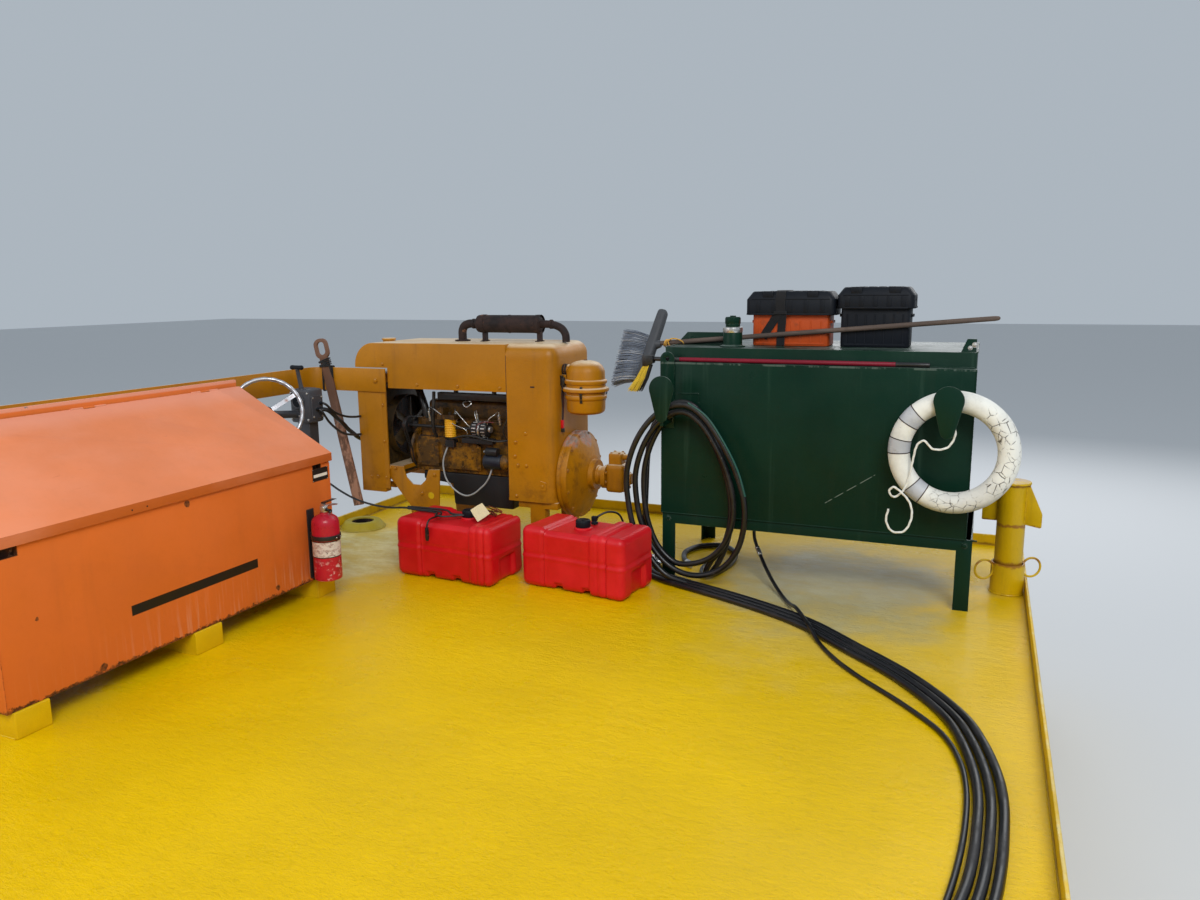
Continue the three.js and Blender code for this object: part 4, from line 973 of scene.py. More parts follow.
# The middle of the three deck hoses as x and y, from the coil to the manifold.
HOSE_ROUTE = mm("467 3080, 700 2990, 963 2870, 1192 2732, 1458 2489, 1640 2320, 1780 2150, 1898 1960, "
                "1975 1712, 2012 1470, 2012 1226, 1996 986, 1972 800, 1945 600, 1930 372")
HOSE_RADIUS = 0.016
# The manifold's ports, and each hose's name, its shift beside the route and the x of its port.
PORT_Y, PORT_Z = 0.33, 0.054
HOSES = [("deck_hose_port", 0.038, 1.872), ("deck_hose_middle", 0.0, 1.932),
         ("deck_hose_starboard", -0.038, 1.992)]
# The other cords' routes, above the deck.
THIN_ROUTE = mm("800 3400 150, 843 3342 100, 930 3200 44, 1020 3050 16, 1072 2950 24, 1110 2870 44, "
                "1150 2790 46, 1188 2710 45, 1222 2640 42, 1250 2590 26, 1285 2530 12, 1375 2380 11, "
                "1491 2234 11, 1706 2014 11, 1850 1830 11, 1915 1650 11, 1940 1470 11, 1940 1226 11, "
                "1920 986 11, 1892 800 12, 1850 600 24, 1812 460 48, 1808 376 54")
ROPE_ROUTE = mm("1792 3112 1036.2, 1794 3108 1018, 1800 3090 975, 1806 3068 930, 1776 3060 872, "
                "1712 3046 862, 1668 3046 900, 1640 3050 880, 1622 3056 800, 1606 3054 700, 1580 3050 640, "
                "1542 3046 612, 1520 3040 640, 1540 3034 664, 1580 3028 640, 1622 3022 590, 1632 3016 520, "
                "1600 3010 452, 1546 3006 448, 1516 3002 500, 1524 2998 560")
CABLE_ROUTE = mm("-1929 2990 900, -1912 2990.4 900, -1892 3030 888, -1882 3150 790, -1890 3260 706, "
                 "-1898 3380 640, -1900 3480 600, -1892 3560 580, -1870 3592.6 576, -1852 3593 576")
FUEL_ROUTE = mm("-36 3006 372, 10 3040 396, 56 3110 372, 74 3170 250, 66 3220 110, 20 3270 28, -80 3310 8, "
                "-220 3330 7, -360 3342 7, -470 3348 7, -519 3350 7")


JUMPER_ROUTE = mm("-1964.7 2975 452, -1940 2974.6 451, -1880 2970 436, -1780 2955 396, -1640 2932 356, "
                  "-1480 2905 338, -1340 2882 340, -1240 2868 352, -1170 2861 355.5, -1100 2860 354.5, "
                  "-1030 2862 354.5, -970 2850 354.5, -935 2812 354.5, -926 2765 355, -928 2722 355.5, "
                  "-929 2696 355.5, -930 2676.5 351, -931 2662 338, -932 2656 322, -932 2654 306")
# Three turns over the port hook as x and height, each at its own distance from the tank.
COIL_TURNS = [(3.104,
               mm("470 21.5, 350 55, 250 150, 165 280, 121 451, 112 624, 165 800, 255 930, 360 1004, "
                  "460 1012, 553 950, 645 825, 728 669, 776 508, 776 350, 735 215, 640 105, 510 60")),
              (3.14,
               mm("380 85, 270 175, 195 310, 158 460, 152 620, 200 780, 275 895, 360 962, 440 968, 520 915, "
                  "605 795, 672 650, 708 500, 704 370, 660 250, 580 160, 480 115")),
              (3.176,
               mm("380 110, 280 190, 215 330, 190 480, 192 640, 235 790, 300 900, 375 962, 450 958, 525 890, "
                  "600 770, 655 630, 686 480, 680 340, 640 215, 570 120"))]
# The run on the deck.
COIL_DECK = mm("545 3200 60, 560 3300 20, 590 3430 17.8, 600 3600 17.8, 560 3780 17.8, 450 3880 17.8, "
               "330 3820 17.8, 280 3680 17.8, 310 3540 17.8, 370 3440 17.8")


def make_cord(name, line, radius, look, sides=14, replaces="", lobes=0, twist=0.0, **facts):
    """A cord along the line; its facts are not used. Lobes and twist give it strands."""
    kit = Kit()
    kit.tube(line, radius, sides, lobes=lobes, twist=twist)
    piece = kit.done(name, look, replaces=replaces, angle=50)
    return piece


def deck_hoses():
    centre = spline([(x, y, 0) for x, y in HOSE_ROUTE], 97)
    for name, shift, port in HOSES:
        points = []
        for i in range(23):
            k = i * 4
            way = (centre[min(k + 1, 96)] - centre[max(k - 1, 0)]).normalized()
            ease = max(0.0, (i / 24 - 0.8) / 0.2) ** 2
            x = (centre[k].x + way.y * shift) * (1 - ease) + port * ease
            lift = (PORT_Z - HOSE_RADIUS - GAP) * ease
            points.append((x, centre[k].y - way.x * shift * (1 - ease), HOSE_RADIUS + GAP + lift))
        points += [(port, PORT_Y + 0.064, PORT_Z), (port, PORT_Y + 0.044, PORT_Z)]
        line = spline(points, 200)
        make_cord(name + "_rubber", line, HOSE_RADIUS, "hose", replaces=name, far_end="object",
                  stiffness="stiff")


def coupling(name, at, way, radius):
    """A hose end: hexagon, ferrule and threaded nose."""
    kit = Kit()
    kit.lathe([(0, -0.03), (radius * 1.25, -0.03), (radius * 1.3, -0.004), (radius * 1.25, 0.002),
               (0, 0.002)], at, way, 24)
    place = Matrix.Translation(at) @ basis(way).to_4x4()
    hexagon = [(radius * 1.5 * cos(a), radius * 1.5 * sin(a)) for a in [pi / 3 * i for i in range(6)]]
    kit.rings([[place @ Vector((u, v, h)) for u, v in hexagon] for h in (0.002, 0.022)])
    nose = [(0, 0.022)]
    for i in range(6):
        nose += [(radius * 0.92, 0.022 + i * 0.004), (radius * 0.82, 0.024 + i * 0.004)]
    kit.lathe([*nose, (radius * 0.8, 0.048), (0, 0.048)], at, way, 24)
    return kit.done(name, "steel", edge=0.0006)


def hose_coil():
    points = []
    for y, turn in COIL_TURNS:
        step = 0.036 / len(turn)
        points += [(x, y - 0.018 + step * i, z) for i, (x, z) in enumerate(turn)]
    line = spline([*points, *COIL_DECK], 420)
    end = coupling("coil_coupling", line[-1], line[-1] - line[-3], HOSE_RADIUS)
    # A thin teal strand on the outer upper arc of the coil: a hose laid along it, whose teal colour and place
    # paint the coil's highlight there.
    edge = [(0.46, 1.012, 1.2), (0.553, 0.95, 0.8), (0.645, 0.825, 0.6), (0.728, 0.669, 0.4),
            (0.77, 0.535, 0.2)]
    edge = [(x + 0.016 * cos(a), 3.094 + 0.001 * i, z + 0.016 * sin(a)) for i, (x, z, a) in enumerate(edge)]
    strand = Kit()
    strand.tube(spline(edge, 60), 0.0062, 10)
    strand = strand.done("coil_highlight_strand", "teal", angle=50)
    make_cord("hose_coil_rubber", line, HOSE_RADIUS, "hose", replaces="hose_coil", far_end="fitting",
              stiffness="stiff", lay="coiled", with_pieces=[end, strand])


def second_loop():
    """A second hose hung over the hook behind the coil, its lower end lying on the deck under the tank."""
    loop = mm("75 3176 17.8, 105 3196 19, 135 3208 60, 160 3212 170, 176 3212 330, 184 3212 520, "
              "196 3212 720, 232 3212 880, 300 3212 972, 385 3212 1013.5, 465 3212 995, 535 3212 905, "
              "610 3212 760, 668 3212 590, 686 3212 410, 662 3212 245, 612 3216 118, 556 3240 40, "
              "506 3292 17.8, 476 3370 17.8, 478 3460 17.8")
    line = spline(loop, 260)
    end = coupling("loop_coupling", line[-1], line[-1] - line[-3], HOSE_RADIUS)
    foot = coupling("loop_foot_coupling", line[0], line[0] - line[2], HOSE_RADIUS)
    make_cord("hose_second_loop", line, HOSE_RADIUS, "hose", far_end="fitting", stiffness="stiff",
              lay="coiled", with_pieces=[end, foot])


def hose_tails():
    """The three deck hoses run on behind the coil, under the tank."""
    centre = spline(mm("467 3080 0, 350 3128 0, 245 3195 0, 175 3300 0, 165 3430 0, 205 3540 0"), 61)
    for name, shift, count in (("hose_tail_port", 0.038, 54), ("hose_tail_middle", 0.0, 60),
                               ("hose_tail_starboard", -0.038, 48)):
        points = []
        for i in range(0, count, 3):
            way = (centre[i + 1] - centre[max(i - 1, 0)]).normalized()
            points.append((centre[i].x - way.y * shift, centre[i].y + way.x * shift, HOSE_RADIUS + 0.0018))
        line = spline(points, 80)
        end = coupling(name + "_coupling", line[-1], line[-1] - line[-3], HOSE_RADIUS)
        make_cord(name, line, HOSE_RADIUS, "hose", far_end="fitting", stiffness="stiff", with_pieces=[end])


def jaws(name, place, length, look):
    """A battery clamp along its own Y axis: two toothed jaws, a rivet and the spring."""
    kit = Kit()
    for side in (-1, 1):
        jaw = [(0.0, 0.001), (0.0, 0.005), (0.3, 0.0085), (0.62, 0.008), (1.0, 0.0062), (1.0, 0.004),
               (0.62, 0.006), (0.3, 0.0062)]
        outline = [(u * length, side * v) for u, v in jaw]
        kit.prism(outline, "x", -0.008, 0.008, place)
    kit.tube([place @ spot(-0.0085, 0.42 * length, 0.0), place @ spot(0.0085, 0.42 * length, 0.0)], 0.0034,
             16, slot=1)
    for i in range(6):
        at = 0.004 + i * 0.0045
        kit.box(-0.0062, 0.0062, at, at + 0.002, -0.0016, 0.0016, place, 1)
    return kit.done(name, look + " copper", bevel=0.0008, segments=2)


def jumper():
    """The lead from the helm post with its hanging clamp, and those with the bright clamps and the tag."""
    place = turned((-0.932, 2.654, 0.236), (90, "X"))
    clamp = jaws("jumper_clamp", place, 0.078, "cable")
    make_cord("jumper_lead", spline(JUMPER_ROUTE, 150), 0.0055, "cable", 16, "jumper_cable", 2, 0.0,
              far_end="connector", stiffness="limp", with_pieces=[clamp])
    second = mm("-1215 2880 357.5, -1170 2886 357, -1100 2892 356.5, -1030 2898 356.5, -965 2892 356.5, "
                "-915 2856 362, -880 2832 356.5, -835 2826 356.5, -795 2846 356.5, -770 2884 356.5, "
                "-735 2905 356.5, -700 2908 358")
    ends = []
    for side, at, turn, rise in (("near", (-0.612, 2.888, 0.359), 82, 8),
                                 ("far", (-0.64, 2.958, 0.36), 118, 17),
                                 ("upper", (-0.596, 2.925, 0.368), 100, 20)):
        ends.append(jaws("bright_clamp_" + side, turned(at, (turn, "Z"), (rise, "X")), 0.088, "copper"))
    tag = Kit()
    corners = mm("-650 2742 351.5, -618 2757 374, -588 2772 398, -622 2788 424, -655 2802 446, "
                 "-684 2785 428, -712 2768 408, -682 2754 380")
    tag.rings([[spot(x + 0.0004 * k, y + 0.0007 * k, z) for x, y, z in corners] for k in (0, 1)])
    tag = tag.done("jumper_tag", "paper")
    string = Kit()
    string.tube(spline(mm("-655 2799.5 441, -662 2825 430, -667 2848 390, -669 2858 368.5, -670 2862 360"),
                       30), 0.0011, 8)
    string = string.done("tag_string", "twine")
    make_cord("jumper_second_lead", spline(second, 130), 0.0055, "cable", 16, "", 2, 0.0, far_end="connector",
              stiffness="limp", with_pieces=ends)
    third = mm("-1190 2846 356, -1120 2838 355, -1050 2834 355, -990 2826 355, -955 2800 356, -945 2765 358, "
               "-890 2762 355, -850 2785 355, -810 2815 356, -760 2842 357, -710 2858 356, -668 2864 356")
    make_cord("jumper_third_lead", spline(third, 110), 0.0045, "cable", 12, "", 2, 0.0, far_end="object",
              stiffness="limp", with_pieces=[tag, string])


def plain_cords():
    """The cords that are one piece each, without fittings of their own."""
    make_cord("thin_hose_rubber", spline(THIN_ROUTE, 220), 0.01, "hose", 12, "thin_hose", far_end="object",
              stiffness="medium")
    make_cord("fuel_hose_rubber", spline(FUEL_ROUTE, 90), 0.006, "cable", 12, "fuel_hose", far_end="object",
              stiffness="medium")
    make_cord("control_cable_bundle", spline(CABLE_ROUTE, 90), 0.013, "cable", 24, "control_cables", 3, 0.12,
              far_end="object", stiffness="stiff", lay="hanging")
    make_cord("ring_rope", spline(ROPE_ROUTE, 260), 0.005, "rope", 18, "ring_line", 3, 0.25, far_end="knot",
              stiffness="limp", lay="hanging")


# Mooring bollards and their collars: name, place, turn of the horns, turn of the rings.
BOLLARDS = [
    ("fore_starboard", (2.098, 3.652), -20, 28),
    ("aft_starboard", (2.098, -3.652), 20, -28),
    ("aft_port", (-2.098, -3.652), 160, 28),
]


def circle(x, y, z, radius):
    """A level circle of points."""
    return [spot(x + radius * cos(2 * pi * i / 96), y + radius * sin(2 * pi * i / 96), z) for i in range(96)]


def bollard(end, at, turn, ring):
    """A capped pipe with two horns, and the loose collar with its two rings."""
    kit = Kit()
    kit.lathe(mm("0 0.3, 70.5 0.3, 70.5 598, 83.5 598, 87 601.5, 87 608, 85.5 611, 82 612, 0 612"), (*at, 0),
              count=80)
    horn = mm("60.5 385, 145 378, 151.5 380, 152.5 386, 152.5 448, 150 458, 86 592, 78.5 598, 60.5 598")
    for side in (0, 180):
        place = turned((*at, 0), (turn + side, "Z"))
        kit.prism(horn, "y", -0.005, 0.005, place)
        for y in (-0.0065, 0.0065):
            bead(kit, [place @ spot(0.0705, y, 0.384), place @ spot(0.0705, y, 0.597)], 0.0032)
            bead(kit, [place @ spot(0.074, y * 0.9, 0.5965), place @ spot(0.085, y * 0.9, 0.5965)], 0.003)
    bead(kit, circle(*at, 0.597, 0.0722), 0.0032, closed=True)
    kit.done("bollard_post_" + end, "bollard", bevel=0.0012, replaces="bollard_" + end)
    kit = Kit()
    kit.lathe(mm("75 0.3, 84 0.3, 84 163.5, 82.5 165, 76.5 165, 75 163.5"), (*at, 0), count=72, closed=True)
    bead(kit, circle(*at, 0.0035, 0.0862), 0.0038, closed=True)
    for side in (0, 180):
        place = turned((*at, 0), (ring + side, "Z"))
        loop = [place @ spot(0.1325 + 0.052 * cos(2 * pi * i / 48), 0, 0.13 + 0.052 * sin(2 * pi * i / 48))
                for i in range(48)]
        kit.tube(loop, 0.006, 12, closed=True)
        for z in (0.098, 0.162):
            weld = [(0.0855, -0.008, z), (0.086, 0.0, z + 0.004), (0.0855, 0.008, z)]
            bead(kit, [place @ spot(*p) for p in weld], 0.0035)
    kit.done("mooring_collar_" + end, "bollard", angle=40, replaces="collar_" + end)


def socket():
    """The ring and the pipe of the empty post socket."""
    kit = Kit()
    kit.lathe(mm("76 0.3, 150 0.3, 150 11, 147 15.5, 127 40.5, 122 46, 115 49.5, 82 50, 78 48.5, 76 44"),
              (-2.03, 3.482, 0), count=96, closed=True)
    bead(kit, circle(-2.03, 3.482, 0.003, 0.152), 0.0042, closed=True)
    kit.done("socket_collar", "socket", angle=40, replaces="socket_ring")
    kit = Kit()
    kit.lathe(mm("72 -297.5, 75.6 -297.5, 75.6 40, 72 40"), (-2.03, 3.482, 0), count=64, closed=True)
    kit.lathe(mm("0 -299, 75.6 -299, 75.6 -297.8, 0 -297.8"), (-2.03, 3.482, 0), count=64)
    kit.done("socket_liner", "muffler")


def hull_welds():
    refined("deck_coaming", "coaming", 0.003)
    kit = Kit()
    x, y = 2.2 - 0.0135, 4.572 - 0.0135
    for a, b in (((x, -y), (x, y)), ((-x, -y), (-x, y)), ((-x, y), (x, y)), ((-x, -y), (x, -y))):
        bead(kit, [(*a, 0.002), (*b, 0.002)], 0.0035, step=0.013)
    kit.done("coaming_weld", "weld", angle=60)
    kit = Kit()
    for side in (-1, 1):
        for y in (-3.05, -1.53, 0.0, 1.53, 3.05):
            bead(kit, [(side * 2.2005, y, -1.215), (side * 2.2005, y, -0.002)], 0.0028, step=0.012)
        bead(kit, [(side * 2.2005, -4.572, -0.02), (side * 2.2005, 4.572, -0.02)], 0.0022, step=0.02)
    for side in (-1, 1):
        for x in (-1.1, 0.0, 1.1):
            bead(kit, [(x, side * 4.5725, -0.31), (x, side * 4.5725, -0.002)], 0.0028, step=0.012)
    kit.done("hull_seams", "deck", angle=60)


def hose_manifold():
    refined("hose_manifold", "steel", 0.002)
    kit = Kit()
    for x in (1.872, 1.932, 1.992):
        kit.lathe(mm("16.2 0, 21.2 1, 21.2 10, 19.5 12, 21.2 14, 21.2 30, 16.2 33"),
                  (x, PORT_Y + 0.046, PORT_Z), FORE, 32, 0, True)
    kit.done("hose_ferrules", "steel", edge=0.0005)


def chest_runners():
    for i in (1, 2, 3):
        refined("chest_runner_%d" % i, "yellow", 0.005, 3)
    kit = Kit()
    for y0, y1 in mm("516 657, 1357 1515, 2180 2321"):
        for y in (y0 + 0.0005, y1 - 0.0005):
            bead(kit, [(-1.955, y, 0.002), (-1.335, y, 0.002)], 0.003)
    kit.done("runner_welds", "yellow", angle=60)


def tool_chest():
    refined("chest_body", "orange", 0.002)
    refined("chest_lid", "lid", 0.003, 3)
    # Painted shade: thin black discs on the lid's lip stand in for the dark insides of its two rivet holes.
    kit = Kit()
    for y in (1.097, 1.171):
        kit.stud(0.0042, 0.0038, 0.0005, 0.0006, (-1.3192, y, 0.747), ACROSS, 24)
    kit.done("lid_rivet_hole_shades", "stripe", "chest_lid")
    kit = Kit()
    for y0, y1 in ((0.542, 0.612), (2.211, 2.279)):
        kit.box(-1.384, -1.366, y0 - 0.006, y1 + 0.006, 0.682, 0.732)
        for low, high in ((0.68, 0.6865), (0.7275, 0.734)):
            kit.box(-1.366, -1.3368, y0 - 0.006, y1 + 0.006, low, high)
        for low, high in ((y0 - 0.008, y0 - 0.0015), (y1 + 0.0015, y1 + 0.008)):
            kit.box(-1.366, -1.3368, low, high, 0.682, 0.732)
    kit.done("chest_pocket_trays", "rust", edge=0.001)
    kit = Kit()
    kit.box(-1.3318, -1.3306, 2.207, 2.328, 0.635, 0.703)
    kit.box(-1.3308, -1.3301, 2.2145, 2.3205, 0.656, 0.672, slot=1)
    for y in (2.2105, 2.3245):
        for z in (0.6385, 0.6995):
            kit.stud(0.0022, 0.0016, 0.0008, 0.001, (-1.3306, y, z), ACROSS, 12, 2)
    kit.done("chest_label_plate", "stripe label steel")
    kit = Kit()
    for y in (0.4968, 2.3402):
        bead(kit, [(CHEST_FRONT + 0.0006, y, 0.11), (CHEST_FRONT + 0.0006, y, 0.72)], 0.0022)
    kit.done("chest_corner_welds", "orange", angle=60)


# The fire extinguisher's axis and the foot of its valve.
EX, EY, VALVE_Z = -1.232, 2.166, 0.4943


def extinguisher():
    kit = Kit()
    kit.lathe(mm("0 134.5, 50 134.5, 58 131, 64 131, 70 134.5, 72 141, 72 426, 71.2 438, 69 449, 64.5 459, "
                 "57 467.5, 47 474.5, 36 479.5, 28 483, 24 487, 24 494, 0 494"), (EX, EY, 0), count=80)
    kit.done("extinguisher_bottle", "red", angle=40, replaces="extinguisher_cylinder")
    kit = Kit()
    for low, high, r, slot in ((0.262, 0.345, 0.0724, 0), (0.259, 0.2635, 0.0727, 1),
                               (0.3435, 0.348, 0.0727, 1)):
        arc = [rad(a) for a in range(-150, 31, 3)]
        edges = (0.0716, low), (r, low), (r, high), (0.0716, high)
        rings = [[spot(EX + q * cos(a), EY + q * sin(a), z) for q, z in edges] for a in arc]
        kit.rings(rings, slot=slot)
    kit.done("extinguisher_label", "worn_label stripe", angle=30)
    kit = Kit()
    z = VALVE_Z
    kit.lathe([(0, z), (0.021, z), (0.0215, z + 0.001), (0.0215, z + 0.007), (0.017, z + 0.0085),
               (0.017, z + 0.03), (0.0135, z + 0.034), (0, z + 0.034)], (EX, EY, 0), count=48)
    kit.box(EX - 0.009, EX + 0.009, EY - 0.018, EY + 0.006, z + 0.018, z + 0.046)
    lower = mm("-20 25, 45 25, 88 18, 95 21.5, 90 25.5, 48 32.5, -20 32.5")
    upper = mm("-14 42, 4 47, 80 50.5, 88 48, 88 52, 80 54.5, -10 53.5")
    for outline, half, slot in ((lower, 0.0115, 0), (upper, 0.01, 1)):
        kit.prism([(EY + u, z + v) for u, v in outline], "x", EX - half, EX + half, slot=slot)
    kit.rod((EX - 0.013, EY - 0.008, z + 0.041), (EX + 0.013, EY - 0.008, z + 0.041), 0.0026, 12)
    pin = [spot(EX + 0.017 + 0.011 * cos(rad(a)), EY - 0.008 + 0.003 * sin(rad(a)),
                z + 0.034 + 0.011 * sin(rad(a))) for a in range(0, 360, 12)]
    kit.tube(pin, 0.0011, 8, closed=True)
    kit.lathe(mm("0 0, 13 0, 13.5 2, 13.5 7, 11.5 8.5, 0 8"), (EX + 0.004, EY - 0.016, z + 0.02),
              (0.25, -1, 0), 32)
    way = Vector((0.042, -0.012, -0.004)).normalized()
    kit.lathe(mm("0 12, 9.5 12, 9.5 22, 7.2 24, 7.2 32, 11.5 53, 8.5 53.5, 0 40"), (EX, EY, z + 0.016), way,
              28, 1)
    kit.done("extinguisher_head", "steel stripe", edge=0.0006, replaces="extinguisher_valve")
    refined("extinguisher_bracket", "black", 0.0015)
    kit = Kit()
    kit.box(EX - 0.078, EX - 0.072, EY - 0.014, EY + 0.014, 0.35, 0.378)
    kit.box(EX + 0.0765, EX + 0.0835, EY - 0.01, EY + 0.012, 0.352, 0.376)
    kit.rod((EX + 0.08, EY - 0.018, 0.364), (EX + 0.08, EY + 0.018, 0.364), 0.0035, 12, 1)
    kit.done("extinguisher_clasp", "black steel", edge=0.0008)


# The engine's crank axis, and the near and far sides of its casing.
AXIS_Y, CRANK_Z = 3.572, 0.486
NEAR, FAR = 3.302, 3.852


def engine_hood():
    outline = [(-1.88, 1.142)]
    outline += [(-1.73 + 0.15 * cos(rad(a)), 1.152 + 0.15 * sin(rad(a))) for a in range(180, 89, -5)]
    outline += mm("-757.3 1308, -757.3 1016, -1625 1012, -1625 1142")
    inside = mm("-1860 1100, -1846 1165, -1725 1258, -780 1262, -780 960, -1860 960")
    hollow = Kit()
    hollow.prism(inside, "y", NEAR + 0.01, FAR - 0.01)

    def upper(a, b):
        sides = all(min(abs(v.y - NEAR), abs(v.y - FAR)) < 0.001 for v in (a, b))
        return sides and min(a.z, b.z) > 1.1415 and max(a.z, b.z) > 1.1425

    kit = Kit()
    kit.prism(outline, "y", NEAR, FAR)
    kit.done("engine_hood_shell", "ochre", cuts=[hollow], folds=upper, fold=0.075, bevel=0.0025,
             replaces="engine_hood")
    kit = Kit()
    cap = (-1.752, 3.512, 1.297)
    kit.lathe(mm("0 0, 40 0, 40 10, 46 12, 46 21, 41 24.5, 0 24.9"), cap, count=48)
    kit.box(-1.775, -1.729, 3.507, 3.517, 1.318, 1.3215)
    for x in (-0.8, -1.1, -1.4, -1.66):
        for y in (NEAR + 0.0004, FAR - 0.0004):
            kit.hex((x, y, 1.04 if x > -1.6 else 1.165), (0, -1 if y < 3.5 else 1, 0), 0.0085)
    kit.box(-1.706, -1.7035, NEAR - 0.0006, NEAR + 0.004, 1.15, 1.262)
    kit.done("hood_fittings", "ochre", edge=0.0008)


def engine_cowl():
    kit = Kit()
    kit.moulded((-0.9, NEAR, 0.2), (-0.43, FAR, 1.31), 0.078, 0.02)
    kit.slice((-0.757, 0, 0), (-1, 0, 0))
    kit.slice((0, 0, 0.342), DOWN)
    kit.done("engine_cowl_shell", "ochre", angle=45, replaces="engine_cowl")
    kit = Kit()
    for x, z in mm("-687 567, -629 567, -699 710, -706 622, -701 372, -520 445"):
        kit.hex((x, NEAR + 0.0002, z), AFT, 0.009)
    for x, z in mm("-687 567, -629 567, -699 710, -701 372"):
        kit.hex((x, FAR - 0.0002, z), FORE, 0.009)
    kit.stud(0.012, 0.01, 0.004, 0.0045, (-0.631, NEAR, 0.766), AFT, 24)
    kit.box(-0.592, -0.562, NEAR - 0.0006, NEAR + 0.002, 1.049, 1.059, slot=1)
    kit.box(-0.7572, -0.7535, NEAR - 0.0006, NEAR + 0.002, 0.36, 1.24, slot=1)
    kit.prism(mm("-535 420, -497 420, -497 470, -535 480"), "y", NEAR - 0.004, NEAR + 0.002)
    kit.done("cowl_fittings", "ochre stripe", edge=0.0008)
    kit = Kit()
    kit.box(-0.4305, -0.402, 3.385, 3.445, 1.06, 1.11)
    kit.box(-0.4305, -0.412, 3.38, 3.45, 1.112, 1.121)
    kit.stud(0.012, 0.012, 0.012, 0.014, (-0.402, 3.415, 1.085), ACROSS, 20)
    kit.box(-0.4305, -0.414, 3.383, 3.401, 0.8, 0.85, slot=1)
    kit.box(-0.4305, -0.41, 3.385, 3.399, 0.775, 0.8)
    for shift, look in ((0.0, 0), (0.01, 2), (0.019, 0)):
        line = [(-0.418, 3.392 + shift, 1.062), (-0.42, 3.386 + shift, 1.01),
                (-0.421, 3.396 + shift * 0.7, 0.93), (-0.42, 3.388 + shift * 0.5, 0.86), (-0.421, 3.391, 0.8)]
        kit.wire(line, 40, 0.0038, 8, slot=look)
    kit.done("ignition_harness", "cable red_plastic maroon", bevel=0.002)


def air_cleaner():
    kit = Kit()
    profile = mm("0 892, 88 892, 100 896, 112 906, 116.5 920, 118 978, 124 982, 126.5 987, 126.5 999, "
                 "124 1004, 118.5 1008, 118.5 1022, 134 1026, 139.5 1031, 140 1042, 137.5 1047, 118.5 1054, "
                 "118.5 1070, 125 1074, 128 1080, 128 1090, 125 1095, 116.5 1100, 115 1146, 110 1162, "
                 "98 1182, 80 1197, 58 1206, 30 1211, 0 1212")
    kit.lathe(profile, (-0.285, 3.44, 0), count=72)
    kit.rod((-0.4295, 3.44, 1.15), (-0.3, 3.44, 1.15), 0.034, 36)
    kit.band(0.034, 0.0375, 0.014, 0.001, (-0.414, 3.44, 1.15), ACROSS, 36, 1)
    kit.band(0.034, 0.0385, 0.012, 0.001, (-0.4285, 3.44, 1.15), ACROSS, 36, 1)
    for angle in (40, 160, 280):
        a = rad(angle)
        at = Vector((-0.285 + 0.1265 * cos(a), 3.44 + 0.1265 * sin(a), 0.965))
        out = Vector((cos(a), sin(a), 0))
        side = Vector((-sin(a), cos(a), 0))
        line = [at - out * 0.006, at + Vector((0, 0, 0.03)), at + out * 0.006 + Vector((0, 0, 0.06)),
                at - out * 0.008 + Vector((0, 0, 0.098))]
        ribbon(kit, spline(line, 14), side, 0.016, 0.0025, 1)
    kit.stud(0.012, 0.011, 0.005, 0.006, (-0.285, 3.44, 1.21), UP, 20, 1)
    for y in (-0.04, 0.04):
        kit.box(-0.4305, -0.395, 3.44 + y - 0.004, 3.44 + y + 0.004, 1.085, 1.125)
    kit.done("air_cleaner_can", "ochre black", angle=30, replaces="air_cleaner")


